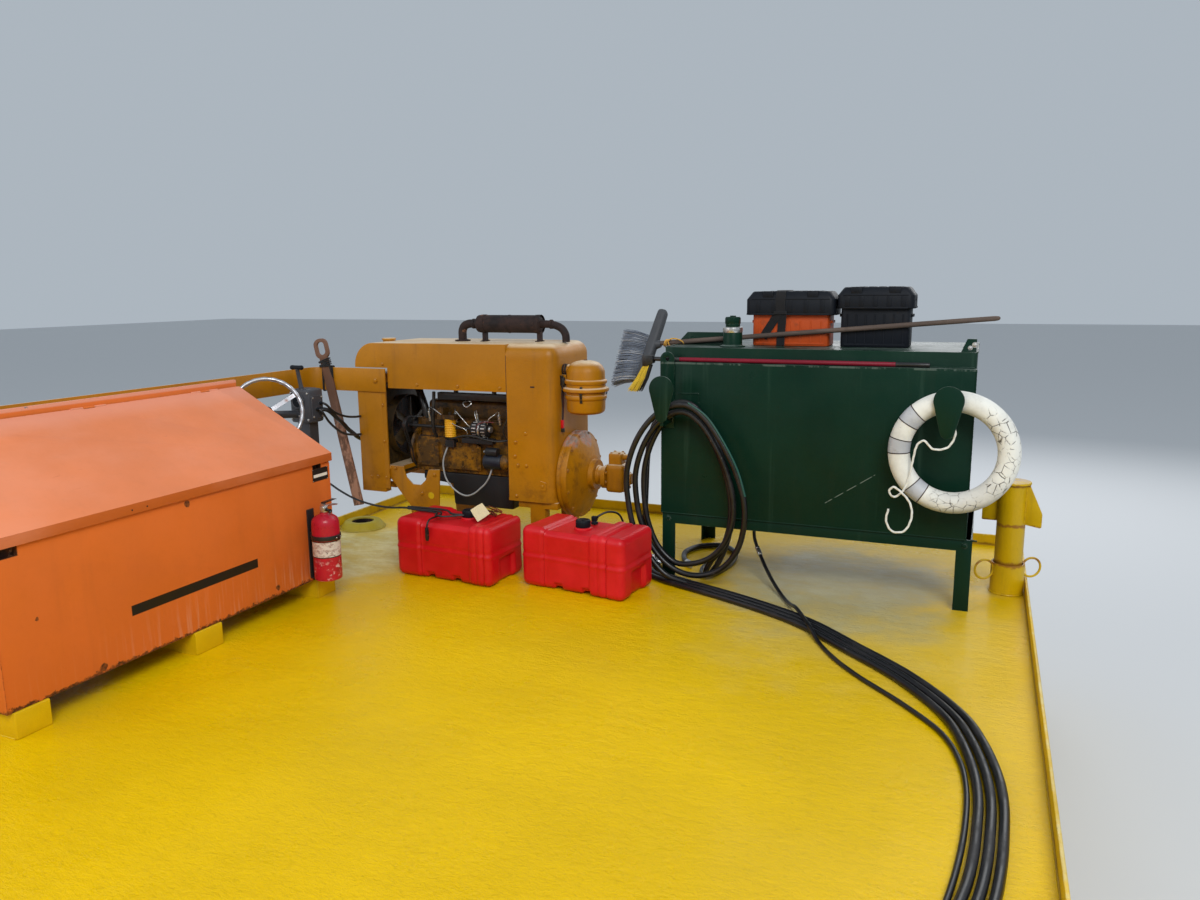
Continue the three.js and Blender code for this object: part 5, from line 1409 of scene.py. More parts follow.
def bell_and_pump():
    kit = Kit()
    at = (-0.4297, AXIS_Y, CRANK_Z)
    profile = mm("0 0, 268 0, 272 4, 272 20, 266 23, 266 28, 272 31, 272 62, 268 67, 256 70, 246 78, "
                 "190 104, 140 122, 122 129, 118 131, 100 131, 96 134, 96 163.5, 0 163.5")
    kit.lathe(profile, at, ACROSS, 84)
    for i in range(12):
        a = rad(15 + 30 * i)
        y, z = AXIS_Y + 0.257 * cos(a), CRANK_Z + 0.257 * sin(a)
        kit.hex((-0.361, y, z), ACROSS, 0.0085)
    for i in range(8):
        a = rad(22.5 + 45 * i)
        way = Vector((0, cos(a), sin(a)))
        root = Vector((-0.302, AXIS_Y, CRANK_Z)) + way * 0.112
        tip = Vector((-0.352, AXIS_Y, CRANK_Z)) + way * 0.236
        across = Vector((0, -sin(a), cos(a))) * 0.004
        low = Vector((-0.014, 0, 0))
        kit.rings([[root + across, root - across, root - across + low, root + across + low],
                   [tip + across, tip - across, tip - across + low, tip + across + low]])
        y, z = AXIS_Y + 0.084 * cos(a), CRANK_Z + 0.084 * sin(a)
        kit.hex((-0.297, y, z), ACROSS, 0.0075, washer=False)
    kit.box(-0.425, -0.375, AXIS_Y - 0.03, AXIS_Y + 0.03, CRANK_Z + 0.262, CRANK_Z + 0.2715)
    kit.done("bell_housing_case", "bell", edge=0.0012, replaces="bell_housing")
    x = -0.2657
    kit = Kit()
    kit.lathe(mm("0 0, 62 0, 62 8, 55 12, 55 45, 62 49, 62 62, 0 62"), (x, AXIS_Y, CRANK_Z), ACROSS, 48)
    plate = mm("-92 -40, -66 -66, 66 -66, 92 -40, 92 40, 66 66, -66 66, -92 40")
    kit.prism([(AXIS_Y + u, CRANK_Z + v) for u, v in plate], "x", x + 0.05, x + 0.078)
    kit.moulded((x + 0.074, AXIS_Y - 0.07, CRANK_Z - 0.092), (x + 0.19, AXIS_Y + 0.07, CRANK_Z + 0.084),
                0.022, 0.014)
    kit.moulded((x + 0.086, AXIS_Y - 0.046, CRANK_Z + 0.06), (x + 0.17, AXIS_Y + 0.046, CRANK_Z + 0.15), 0.01,
                0.014)
    kit.lathe(mm("0 0, 24 0, 24 10, 19 14, 19 44, 22 48, 22 54, 0 54"), (x + 0.16, AXIS_Y, CRANK_Z + 0.124),
              ACROSS, 32)
    kit.lathe(mm("0 0, 44 0, 44 30, 38 34, 34 44, 20 46, 0 46"), (x + 0.18, AXIS_Y, CRANK_Z - 0.01), ACROSS,
              40)
    for y in (-0.072, 0.072):
        kit.hex((x + 0.078, AXIS_Y + y, CRANK_Z + 0.03), ACROSS, 0.01)
        kit.hex((x + 0.078, AXIS_Y + y, CRANK_Z - 0.03), ACROSS, 0.01)
    for y in (-0.052, 0.052):
        for z in (-0.075, 0.065):
            kit.hex((x + 0.1895, AXIS_Y + y, CRANK_Z + z), ACROSS, 0.008)
    for y in (-0.03, 0.03):
        for dx in (0.102, 0.154):
            kit.hex((x + dx, AXIS_Y + y, CRANK_Z + 0.1495), UP, 0.007)
    kit.done("pump_body", "ochre", edge=0.0012, angle=32, replaces="pump")


def muffler():
    kit = Kit()
    x0, x1, z = -1.098, -0.645, 1.418
    kit.lathe(mm("0 0, 30 0, 45 3, 54 10, 56 18, 56 435, 54 443, 45 450, 30 453, 0 453"), (x0, AXIS_Y, z),
              ACROSS, 56)
    for at in (x0 + 0.03, x0 + 0.225, x1 - 0.035):
        kit.band(0.0558, 0.0582, 0.012, 0.002, (at, AXIS_Y, z), ACROSS, 56)
    inlet = [(-1.216, AXIS_Y, 1.3057), (-1.216, AXIS_Y, 1.34), (-1.214, AXIS_Y, 1.375),
             (-1.198, AXIS_Y, 1.403), (-1.168, AXIS_Y, 1.416), (-1.13, AXIS_Y, 1.418), (-1.09, AXIS_Y, 1.418)]
    kit.wire(inlet, 40, 0.027, 32)
    outlet = [(-0.655, AXIS_Y, 1.418), (-0.59, AXIS_Y, 1.418), (-0.54, AXIS_Y, 1.41), (-0.5, AXIS_Y, 1.39),
              (-0.478, AXIS_Y, 1.358), (-0.474, AXIS_Y, 1.33), (-0.474, AXIS_Y, 1.3106)]
    kit.wire(outlet, 44, 0.024, 32)
    kit.lathe(mm("0 0, 50 0, 50 8, 28 9, 0 9"), (-1.216, AXIS_Y, 1.306), count=40)
    kit.band(0.0235, 0.029, 0.018, 0.002, (-0.582, AXIS_Y, z), ACROSS, 40)
    kit.band(0.0265, 0.032, 0.018, 0.002, (-1.136, AXIS_Y, z), ACROSS, 40)
    kit.box(-1.2235, -1.2085, AXIS_Y - 0.056, AXIS_Y - 0.044, 1.307, 1.316)
    kit.box(-1.2235, -1.2085, AXIS_Y + 0.044, AXIS_Y + 0.056, 1.307, 1.316)
    for x, low in ((-1.06, 1.3067), (-0.668, 1.3103)):
        kit.box(x, x + 0.026, AXIS_Y - 0.016, AXIS_Y + 0.016, low, 1.372)
        kit.box(x, x + 0.026, AXIS_Y - 0.04, AXIS_Y + 0.04, low, low + 0.005)
        kit.band(0.0558, 0.059, 0.026, 0.001, (x, AXIS_Y, z), ACROSS, 56)
        for y in (-0.03, 0.03):
            kit.hex((x + 0.013, AXIS_Y + y, low + 0.0045), UP, 0.007)
    kit.done("muffler_can", "muffler", edge=0.0008, replaces="muffler")


def engine_block():
    y = AXIS_Y
    kit = Kit()
    kit.moulded((-1.5, y - 0.15, 0.458), (-0.764, y + 0.15, 0.69), 0.012, 0.05)
    kit.moulded((-1.48, y - 0.128, 0.689), (-0.79, y + 0.128, 0.806), 0.008, 0.05)
    kit.box(-1.49, -0.775, y - 0.134, y + 0.134, 0.687, 0.692, slot=1)
    kit.moulded((-1.45, y - 0.088, 0.798), (-0.815, y + 0.088, 0.925), 0.03, 0.018)
    kit.box(-1.458, -0.807, y - 0.094, y + 0.094, 0.803, 0.811)
    kit.box(-1.54, -1.499, y - 0.07, y + 0.07, 0.64, 0.8)
    kit.box(-1.53, -1.499, y - 0.12, y + 0.12, 0.462, 0.69)
    for x in (-1.4, -1.24, -1.02, -0.86):
        kit.stud(0.014, 0.012, 0.007, 0.008, (x, y, 0.9245), UP, 20)
    kit.lathe(mm("0 0, 26 0, 26 12, 34 14, 34 30, 28 34, 0 34"), (-1.13, y, 0.922), count=32, slot=1)
    for i in range(9):
        x = -1.46 + i * 0.082
        kit.hex((x, y - 0.112, 0.806), UP, 0.009)
        kit.hex((x, y + 0.112, 0.806), UP, 0.009)
        kit.hex((x, y - 0.15, 0.472), AFT, 0.007)
        kit.hex((x, y + 0.15, 0.472), FORE, 0.007)
    for x in (-1.38, -1.2, -1.02, -0.86):
        kit.lathe(mm("0 0, 22 0, 20 4, 15 2, 0 1"), (x, y + 0.15, 0.58), FORE, 24, 1)
    kit.prism(mm("-1290 490, -1010 490, -1010 645, -1045 663, -1255 663, -1290 645"), "y", y - 0.172,
              y - 0.149)
    for x, z in mm("-1275 505, -1150 505, -1025 505, -1275 640, -1150 650, -1025 640, -1240 565, -1066 614"):
        kit.hex((x, y - 0.172, z), AFT, 0.0085)
    kit.prism(mm("-1490 500, -1330 500, -1330 660, -1490 600"), "y", y - 0.165, y - 0.149)
    for x, z in mm("-1475 515, -1345 515, -1345 640"):
        kit.hex((x, y - 0.165, z), AFT, 0.0085)
    # Ribbed filter under its bracket.
    fx, fy = -1.222, y - 0.18
    ribs = [(0, 0.7)]
    for i in range(9):
        z = 0.702 + i * 0.0115
        ribs += [(0.034, z), (0.037, z + 0.003), (0.037, z + 0.0065), (0.034, z + 0.009)]
    kit.lathe([*ribs, (0.037, 0.808), (0.037, 0.818), (0, 0.818)], (fx, fy, 0), count=40, slot=3)
    kit.box(-1.3, -1.17, fy - 0.034, y - 0.126, 0.817, 0.846)
    kit.box(-1.3, -1.262, fy - 0.02, y - 0.126, 0.846, 0.884)
    kit.rod((fx, fy, 0.846), (fx, fy, 0.862), 0.012, 16)
    kit.hex((-1.281, fy - 0.01, 0.884), UP, 0.008)
    kit.box(-1.25, -1.186, fy - 0.024, y - 0.149, 0.638, 0.684, slot=1)
    kit.rod((-1.218, fy - 0.006, 0.684), (-1.218, fy - 0.006, 0.7), 0.01, 16, 1)
    # Injection pump with its four lines up to the head.
    kit.moulded((-1.13, y - 0.205, 0.668), (-0.9, y - 0.149, 0.705), 0.008, 0.02, slot=1)
    for i, x in enumerate((-1.4, -1.2, -1.04, -0.88)):
        kit.rod((x, y - 0.136, 0.79), (x, y - 0.15, 0.85), 0.009, 16, 2)
        kit.hex((x, y - 0.1505, 0.85), (0, -0.2, 1), 0.008, slot=2)
        start = (-1.1 + 0.05 * i, y - 0.178, 0.703)
        line = [start, (start[0], y - 0.182, 0.745),
                (start[0] + (x - start[0]) * 0.3, y - 0.2, 0.79 + 0.012 * i),
                (start[0] + (x - start[0]) * 0.8, y - 0.19, 0.88 - 0.008 * i), (x, y - 0.152, 0.876),
                (x, y - 0.151, 0.856)]
        kit.wire(line, 40, 0.0032, 8, slot=2)
    kit.done("engine_block_casting", "oily black steel filter", edge=0.0015, replaces="engine_block")

    kit = Kit()
    for z, radius, x0, x1 in ((0.59, 0.15, -1.56, -1.53), (0.735, 0.06, -1.596, -1.541)):
        middle = (x0 + x1) / 2
        kit.lathe([(0, x0), (radius * 0.75, x0), (radius * 0.8, x0 + 0.004), (radius, x0 + 0.002),
                   (radius - 0.01, middle - 0.002), (radius - 0.01, middle + 0.002), (radius, x1 - 0.002),
                   (radius * 0.8, x1), (0, x1)], (0, y, z), ACROSS, 56, int(z < 0.7))
    kit.lathe(mm("0 0, 128 0, 140 6, 146 16, 146 26, 0 26"), (-1.5295, y, 0.59), ACROSS, 56, 1)
    kit.rod((-1.6237, y, 0.735), (-1.59, y, 0.735), 0.026, 24)
    kit.rod((-1.54, y, 0.59), (-1.499, y, 0.59), 0.04, 24)
    kit.lathe(mm("0 0, 50 0, 50 20, 38 24, 0 24"), (-1.575, y - 0.16, 0.76), ACROSS, 40)
    kit.rod((-1.551, y - 0.16, 0.76), (-1.06, y - 0.172, 0.76), 0.01, 16)
    for x in (-1.565, -1.548):
        belt = [(x, y + 0.147, 0.6), (x, y + 0.1, 0.7), (x, y + 0.058, 0.755), (x, y, 0.79),
                (x, y - 0.06, 0.8), (x, y - 0.16, 0.808), (x, y - 0.207, 0.78), (x, y - 0.2, 0.735),
                (x, y - 0.17, 0.66), (x, y - 0.145, 0.6), (x, y - 0.11, 0.49), (x, y, 0.442),
                (x, y + 0.11, 0.49)]
        kit.wire(belt, 90, 0.0055, 8, closed=True)
    kit.done("engine_drive", "black oily", edge=0.0008)

    kit = Kit()
    at = (-1.058, y - 0.176, 0.762)
    can = mm("0 0, 30 0, 46 6, 50 14, 50 110, 46 118, 30 124, 0 124")
    kit.lathe(can, at, ACROSS, 40)
    for i in range(14):
        a = 2 * pi * i / 14
        place = Matrix.Translation(at) @ Matrix.Rotation(a, 4, "X")
        kit.box(0.084, 0.11, -0.0035, 0.0035, 0.046, 0.0525, place=place, slot=1)
        kit.box(0.02, 0.046, -0.0035, 0.0035, 0.046, 0.0525, place=place, slot=1)
    kit.band(0.0495, 0.0525, 0.014, 0.002, (at[0] + 0.056, at[1], at[2]), ACROSS, 40, 1)
    kit.box(-1.03, -0.97, y - 0.176, y - 0.12, 0.7, 0.725)
    kit.stud(0.022, 0.02, 0.012, 0.013, (-0.934, y - 0.176, 0.762), ACROSS, 24, 1)
    kit.done("alternator", "black steel", edge=0.0008)
    kit = Kit()
    kit.lathe(mm("0 0, 40 0, 48 6, 48 120, 40 128, 0 130"), (-0.965, y - 0.188, 0.56), ACROSS, 40)
    kit.lathe(mm("0 0, 26 0, 28 4, 28 82, 0 84"), (-0.945, y - 0.205, 0.625), ACROSS, 32, 1)
    kit.lathe(mm("0 0, 52 0, 52 30, 40 52, 0 52"), (-0.836, y - 0.18, 0.56), ACROSS, 40, 2)
    kit.rod((-0.942, y - 0.205, 0.625), (-0.96, y - 0.205, 0.625), 0.006, 12, 3)
    kit.hex((-0.958, y - 0.205, 0.625), (-1, 0, 0), 0.008, slot=3)
    kit.done("starter_motor", "blue black oily steel", edge=0.0008)

    kit = Kit()
    pipe = mm("-1721 3620 1030, -1660 3600 1035, -1580 3560 1010, -1510 3500 950, -1470 3480 880, "
              "-1455 3480 800")
    kit.wire(pipe, 60, 0.024, 24)
    kit.wire(mm("-1338 3395 990, -1341 3392 920, -1350 3390 830, -1352 3398 740, -1345 3420 690"), 50, 0.011,
             20)
    low_pipe = mm("-1721 3740 460, -1660 3740 462, -1600 3745 500, -1540 3750 560, -1470 3735 575")
    kit.wire(low_pipe, 50, 0.022, 24)
    kit.box(-1.321, -0.8, 3.405, 3.45, 0.94, 0.985)
    kit.box(-1.2, -1.18, 3.41, 3.44, 0.94, 1.02)
    kit.box(-0.92, -0.9, 3.41, 3.44, 0.94, 1.02)
    kit.done("engine_pipes", "cable", bevel=0.004)

    kit = Kit()
    kit.wire(mm("-1270 3402 690, -1200 3372 692, -1120 3360 716, -1030 3352 722, -930 3362 700, "
                "-860 3372 694, -800 3398 700"), 60, 0.0065, 10)
    kit.wire(mm("-807 3395 897, -800 3382 840, -826 3378 760, -815 3396 700"), 40, 0.0045, 8)
    kit.wire(mm("-1095 3440 936, -1120 3392 925, -1090 3380 902, -1060 3395 925, -1085 3410 938"), 40, 0.004,
             8, slot=1)
    kit.wire(mm("-1000 3345 775, -985 3336 800, -950 3350 815, -900 3390 810"), 30, 0.004, 8, slot=2)
    kit.done("engine_loom", "cable steel maroon")


def engine_wire():
    wire = mm("-1245 3394 640, -1258 3380 600, -1272 3370 542, -1266 3366 470, -1246 3365 418, "
              "-1215 3368 378, -1187 3372 353, -1150 3378 330, -1110 3384 322, -1060 3388 340, "
              "-1010 3388 379, -970 3384 415, -940 3376 455, -925 3384 500, -926 3404 536")
    make_cord("engine_wire", spline(wire, 120), 0.0055, "grey_wire", 12, far_end="object", stiffness="limp",
              lay="hanging")


def radiator():
    kit = Kit()
    for k in range(2):
        x0, x1 = (-1.8512, -1.8492) if k else (-1.7222, -1.7202)
        for i in range(46):
            z = 0.452 + i * 0.0125
            kit.box(x0, x1, 3.372, 3.812, z, z + 0.004)
        for i in range(12):
            y = 3.38 + i * 0.0385
            kit.box(x0 - 0.0004, x1 + 0.0004, y, y + 0.005, 0.445, 1.03)
    kit.box(-1.8525, -1.719, 3.354, 3.83, 1.035, 1.092, slot=1)
    kit.box(-1.8525, -1.719, 3.354, 3.83, 0.382, 0.44, slot=1)
    kit.done("radiator_fins", "black ochre")
    refined("radiator", "black", 0.002)


def fan_and_supports():
    refined("engine_sump", "black", 0.012, 4)
    refined("front_support", "ochre", 0.002)
    refined("rear_support", "ochre", 0.002)
    refined("fan_shroud", "sooty", 0.001)
    refined("fan", "sooty", 0.0012)
    kit = Kit()
    kit.stud(0.0225, 0.0225, 0.0012, 0.0014, (-1.333, 3.306, 0.322), AFT, 36)
    for x, z in mm("-1600 484, -1640 484, -1300 460, -1400 330"):
        kit.hex((x, 3.3062, z), AFT, 0.01, slot=1)
    kit.done("support_fittings", "yellow ochre", edge=0.0005)


def helm():
    refined("helm_post", "grey", 0.004, 3)
    kit = Kit()
    face = 2.9052
    kit.lathe(mm("0 0, 50 0, 52 3, 50 9, 42 9.5, 40 6, 0 6"), (-2.018, face, 0.958), AFT, 48)
    kit.stud(0.039, 0.039, 0.0008, 0.001, (-2.018, face - 0.006, 0.958), AFT, 40, 1)
    kit.rod((-2.018, face - 0.0072, 0.958), (-1.996, face - 0.0072, 0.975), 0.0016, 8, 2)
    for x, z in mm("-2074 842, -1946 842, -2074 1008, -1946 1008"):
        kit.hex((x, face, z), AFT, 0.0055, slot=2)
    kit.box(-2.066, -1.986, face - 0.004, face + 0.002, 0.848, 0.882)
    for i in range(3):
        kit.lathe(mm("0 0, 6 0, 6 10, 3 20, 0 21"), (-2.053 + 0.027 * i, face - 0.003, 0.865), (0, -1, 0.2),
                  20, 2)
    side = -1.9302
    kit.box(side - 0.002, side + 0.004, 2.925, 3.025, 0.846, 0.99)
    for y, z in mm("2936 858, 3014 858, 2936 978, 3014 978"):
        kit.hex((side + 0.004, y, z), ACROSS, 0.0048, slot=2)
    for y, z in ((3.0, 0.94), (2.965, 0.905)):
        kit.lathe(mm("0 0, 11 0, 11 8, 7 12, 7 20, 0 20"), (side + 0.003, y, z), ACROSS, 20, 1)
    kit.prism(mm("-2060 1029.5, -1960 1029.5, -1972 1033.5, -2048 1033.5"), "y", 2.925, 3.02)
    for x, y in mm("-2075 2920, -1945 2920, -2075 3030, -1945 3030"):
        kit.hex((x, y, 0.0118), UP, 0.011, slot=2)
    kit.done("helm_fittings", "grey black_plastic steel", edge=0.0008)

    kit = Kit()
    foot, head = Vector((-2.014, 2.939, 1.033)), Vector((-2.014, 2.913, 1.162))
    kit.tube([foot, foot.lerp(head, 0.1), foot.lerp(head, 0.14), foot.lerp(head, 0.94), head],
             [0.015, 0.015, 0.0125, 0.012, 0.014], 24)
    grip = mm("0 0, 9 0, 13 3, 14.8 10, 13.5 24, 13.5 68, 14.8 82, 13 89, 9 92, 0 92")
    kit.lathe(grip, (-2.06, 2.911, 1.168), ACROSS, 32, 1)
    kit.done("throttle_handle", "grey black_plastic", replaces="throttle_lever", angle=40)

    place = turned((-1.985, 2.6, 0.93), (45, "Z"), (-15, "X"))
    kit = Kit()
    rim = [place @ spot(0.2 * cos(2 * pi * i / 144), 0, 0.2 * sin(2 * pi * i / 144)) for i in range(144)]
    sizes = [0.0118 + 0.001 * cos(2 * pi * i / 6) for i in range(144)]
    kit.tube(rim, sizes, 20, closed=True)
    for angle in (30, 150, 270):
        a = rad(angle)
        out = spot(cos(a), 0, sin(a))
        line = [place @ (out * r + spot(0, y)) for r, y in mm("20 20, 60 16, 120 8, 170 1, 197 0")]
        across = place.to_3x3() @ spot(-sin(a), 0, cos(a))
        ribbon(kit, spline(line, 24), across, 0.024, 0.004)
        ribbon(kit, spline([p + place.to_3x3() @ spot(0, 0.003) for p in line], 24), across, 0.01, 0.006)
    middle = place @ spot(0, 0)
    way = place.to_3x3() @ spot(0, 1)
    kit.lathe(mm("0 -14, 20 -13.5, 30 -10, 34 -4, 34 12, 24 18, 18 24, 18 46, 0 46"), middle, way, 48, 1)
    kit.lathe(mm("0 -16.5, 10 -16, 12 -13.5, 0 -13"), middle, way, 32)
    kit.done("wheel_rim_and_spokes", "chrome black_plastic", "steering_wheel", angle=50,
             replaces="steering_wheel")


# The bar is a little broader than its solid.
BAR_WIDER = 1.25


def guard():
    refined("guard_rail", "ochre", 0.002)
    refined("guard_column", "ochre", 0.0025)
    kit = Kit()
    face = 3.2818
    kit.hex((-1.703, face, 1.059), AFT, 0.013)
    for x, z in mm("-1784 418, -1732 422, -1784 1085, -1732 1085"):
        kit.hex((x, 3.2921, z), AFT, 0.01)
    kit.box(-1.6895, -1.643, 3.2935, 3.3015, 0.345, 0.985)
    for z in (0.42, 0.66, 0.9):
        kit.hex((-1.666, 3.2933, z), AFT, 0.008)
    for y0 in (0.7, 2.24):
        for x, y in ((-2.1865, y0 - 0.001), (-2.1865, y0 + 0.057)):
            bead(kit, [(x, y, 0.99), (x, y, 1.04)], 0.0035)
        y1 = y0 + 0.056
        foot = [(-2.186, y0, 0.003), (-2.128, y0, 0.003), (-2.128, y1, 0.003), (-2.186, y1, 0.003)]
        bead(kit, foot, 0.004, closed=True)
    kit.done("guard_fittings", "ochre", edge=0.0008)

    skin = refined("eye_bar", "bar", 0.002)
    kit = Kit()
    bar = turned((-2.104, 3.2718, 1.205), (-12.5, "Y"))
    for vertex in skin.data.vertices:
        own = bar.inverted() @ (vertex.co - LIFT)
        own.x *= BAR_WIDER
        vertex.co = bar @ own + LIFT

    def wrap(half, deep):
        corner = 0.006
        found = []
        for cx, cy, start in ((half, deep, 0), (-half, deep, 90), (-half, -deep, 180), (half, -deep, 270)):
            for a in range(start, start + 91, 30):
                found.append((cx - copysign(corner, cx) + corner * cos(rad(a)),
                              cy - copysign(corner, cy) + corner * sin(rad(a))))
        return found

    for i in range(6):
        z = -0.062 + 0.0082 * i
        lean = 0.004 * ((i % 3) - 1)
        loop = [bar @ spot(u, v, z + lean * u / 0.03) for u, v in wrap(0.0425, 0.0115)]
        kit.tube(loop, 0.004, 10, closed=True)
    for x in (-2.126, -2.118, -2.05, -2.042):
        tilt = 0.008 if x < -2.08 else -0.008
        loop = mm("9.5 6, 6 10.5, -6 10.5, -10 6, -10.2 -75, -10.2 -152, -6 -156, 6 -156, 9.8 -152, 9.8 -75")
        kit.tube([(x + tilt * (v + 0.005), 3.287 + u, 1.136 + v) for u, v in loop], 0.0038, 10, closed=True)
    kit.wire(mm("-2042 3277 1142, -2055 3262 1150, -2085 3258.5 1158, -2112 3262 1150, -2126 3277 1142"), 24,
             0.004, 10)
    kit.wire(mm("-2055 3260.5 1152, -2046 3258 1130, -2040 3262 1098, -2034 3270 1072"), 24, 0.0038, 10)
    kit.done("eye_bar_lashing", "webbing", angle=60)


def helm_wires():
    upper = mm("-1906 3000 940, -1892 3012 930, -1874 3060 880, -1860 3150 838, -1850 3240 822, "
               "-1845 3288 820")
    lower = mm("-1906 2965 905, -1892 2972 890, -1878 3020 815, -1866 3120 735, -1858 3220 706, "
               "-1850 3288 700")
    for name, route in (("helm_wire_upper", upper), ("helm_wire_lower", lower)):
        make_cord(name, spline(route, 60), 0.0075, "cable", 10, far_end="object", stiffness="medium",
                  lay="hanging")


# Portable fuel tanks: centre, turn, grooves and panel along the length, place of the cap, and the block
# of fine ribs.
RED_TANKS = [("fuel_tank_port", (-0.838, 2.846), -4, (-0.15, 0.279), (-0.137, 0.19), (0.06, 0.02), None),
             ("fuel_tank_starboard", (-0.058, 2.921), -7.5, (-0.179, 0.213), (-0.166, 0.118),
              (-0.007, -0.029), (-0.318, -0.192))]


def fuel_tank(node, centre, turn, grooves, panel, cap, ribbed):
    """A blow-moulded portable tank with its cap."""

    def relief(p, n):
        face = min(1.0, abs(n.y) + max(0.0, n.z))
        deep = 0.0
        for g in grooves:
            deep -= 0.014 * hump(p.x, g, 0.016) * face
        deep -= (0.009 * abs(n.y) + 0.018 * max(0.0, n.z)) * plateau(p.x, *panel, 0.012)
        deep -= 0.006 * hump(p.x, (grooves[1] + panel[1]) / 2, 0.01) * face
        if ribbed and abs(n.y) > 0.6 and ribbed[0] < p.x < ribbed[1]:
            deep -= 0.0022 * (0.5 + 0.5 * cos(p.z * 2 * pi / 0.017)) * plateau(p.z, -0.13, 0.12)
        level = 1 - abs(n.z)
        deep += 0.0045 * hump(p.z, 0.0, 0.01) * level
        deep -= 0.003 * hump(p.z, 0.024, 0.012) * level
        for notch in (-0.09, 0.09):
            across = plateau(p.x, notch - 0.026, notch + 0.026, 0.01)
            deep -= 0.016 * across * plateau(p.z, -0.2, -0.135, 0.016)
        deep -= 0.022 * abs(n.x) * plateau(p.y, -0.075, 0.075, 0.02) * plateau(p.z, -0.2, -0.03, 0.02)
        deep += 0.0025 * sin(p.x * 9 + 1) * sin(p.y * 7 + p.z * 8)
        return deep - 0.0025

    place = turned((*centre, GAP), (turn, "Z"))
    kit = Kit()
    kit.moulded((-0.3275, -0.185, 0), (0.3275, 0.185, 0.348), 0.042, 0.0075, relief, place)
    kit.done(node + "_moulding", "red_plastic", angle=60, replaces=node)
    top = place @ spot(*cap, 0.322)
    kit = Kit()
    kit.lathe(mm("0 0, 50 0, 51 14, 44 20, 0 20"), top, count=40, slot=1)
    count = 72
    rings = []
    for r, h in mm("36 14, 41.5 17, 41.5 53, 38 59.5, 28 61, 26 57.5"):
        ring = []
        for i in range(count):
            a = 2 * pi * i / count
            notch = 0.0014 * (i % 3 == 0) * (r > 0.03)
            ring.append(top + spot((r - notch) * cos(a), (r - notch) * sin(a), h))
        rings.append(ring)
    kit.rings(rings)
    kit.lathe(mm("0 54, 9 54.5, 8 61.5, 0 62"), top, count=20)
    kit.done(node + "_cap", "black_plastic red_plastic", edge=0.0006)


def fuel_connector():
    kit = Kit()
    kit.lathe(mm("0 0, 20 0, 20 10, 12 14, 12 20, 0 21"), (-0.044, 2.994, 0.336), count=24)
    kit.box(-0.06, -0.03, 2.984, 3.01, 0.352, 0.378)
    kit.lathe(mm("0 0, 8.5 0, 8.5 18, 6.5 22, 0 22"), (-0.045, 2.998, 0.37), (0.74, 0.5, 0.1), 20)
    kit.done("fuel_connector", "black_plastic", bevel=0.002)


# The green tank's front, the back of its ledge, and its top with the gap.
LEDGE_Y, LEDGE_BACK, TANK_TOP = 3.234, 3.294, 1.3103


def green_tank():
    refined("green_tank", "green", 0.006, 3)
    refined("tank_stand", "green", 0.0015)

    kit = Kit()
    for low, high in (((0.27, 0.375), (1.88, 0.375)), ((0.27, 0.375), (0.27, 1.232)),
                      ((1.88, 0.375), (1.88, 1.232))):
        bead(kit, [(low[0], LEDGE_Y + 0.003, low[1]), (high[0], LEDGE_Y + 0.003, high[1])], 0.0045)
    for x in (0.27, 1.88):
        bead(kit, [(x, 3.24, 0.375), (x, 4.09, 0.375)], 0.0045)
        bead(kit, [(x, 3.294, 1.31), (x, 4.09, 1.31)], 0.004)
    bead(kit, [(0.28, LEDGE_BACK - 0.001, 1.2335), (1.87, LEDGE_BACK - 0.001, 1.2335)], 0.0045)
    bead(kit, [(0.364, LEDGE_Y, 1.059), (0.483, LEDGE_Y, 1.063)], 0.003)
    bead(kit, [(0.483, LEDGE_Y, 1.063), (0.483, LEDGE_Y, 1.011)], 0.003)
    for x in (0.29, 0.34, 1.835, 1.905):
        bead(kit, [(x, 3.243, 0.373), (x + 0.03, 3.243, 0.373)], 0.0045)
    bead(kit, [(0.29, 3.5395, 1.3115), (0.58, 3.5395, 1.3115)], 0.005)
    kit.done("tank_welds", "green", angle=60)

    kit = Kit()
    kit.hex((0.5, 3.54, 1.345), AFT, 0.014)
    kit.hex((0.352, 3.54, 1.345), AFT, 0.01)
    kit.hex((1.866, 3.33, 1.345), AFT, 0.01, slot=1)
    kit.hex((1.845, 3.33, 1.33), AFT, 0.008, slot=1)
    for x, y in mm("310 3239.5, 310 4095.5, 1878 3239.5, 1878 4095.5"):
        kit.hex((x, y, 0.344), (0, -1 if y < 4 else 1, 0), 0.011)
    kit.done("tank_bolts", "green steel", edge=0.0005)


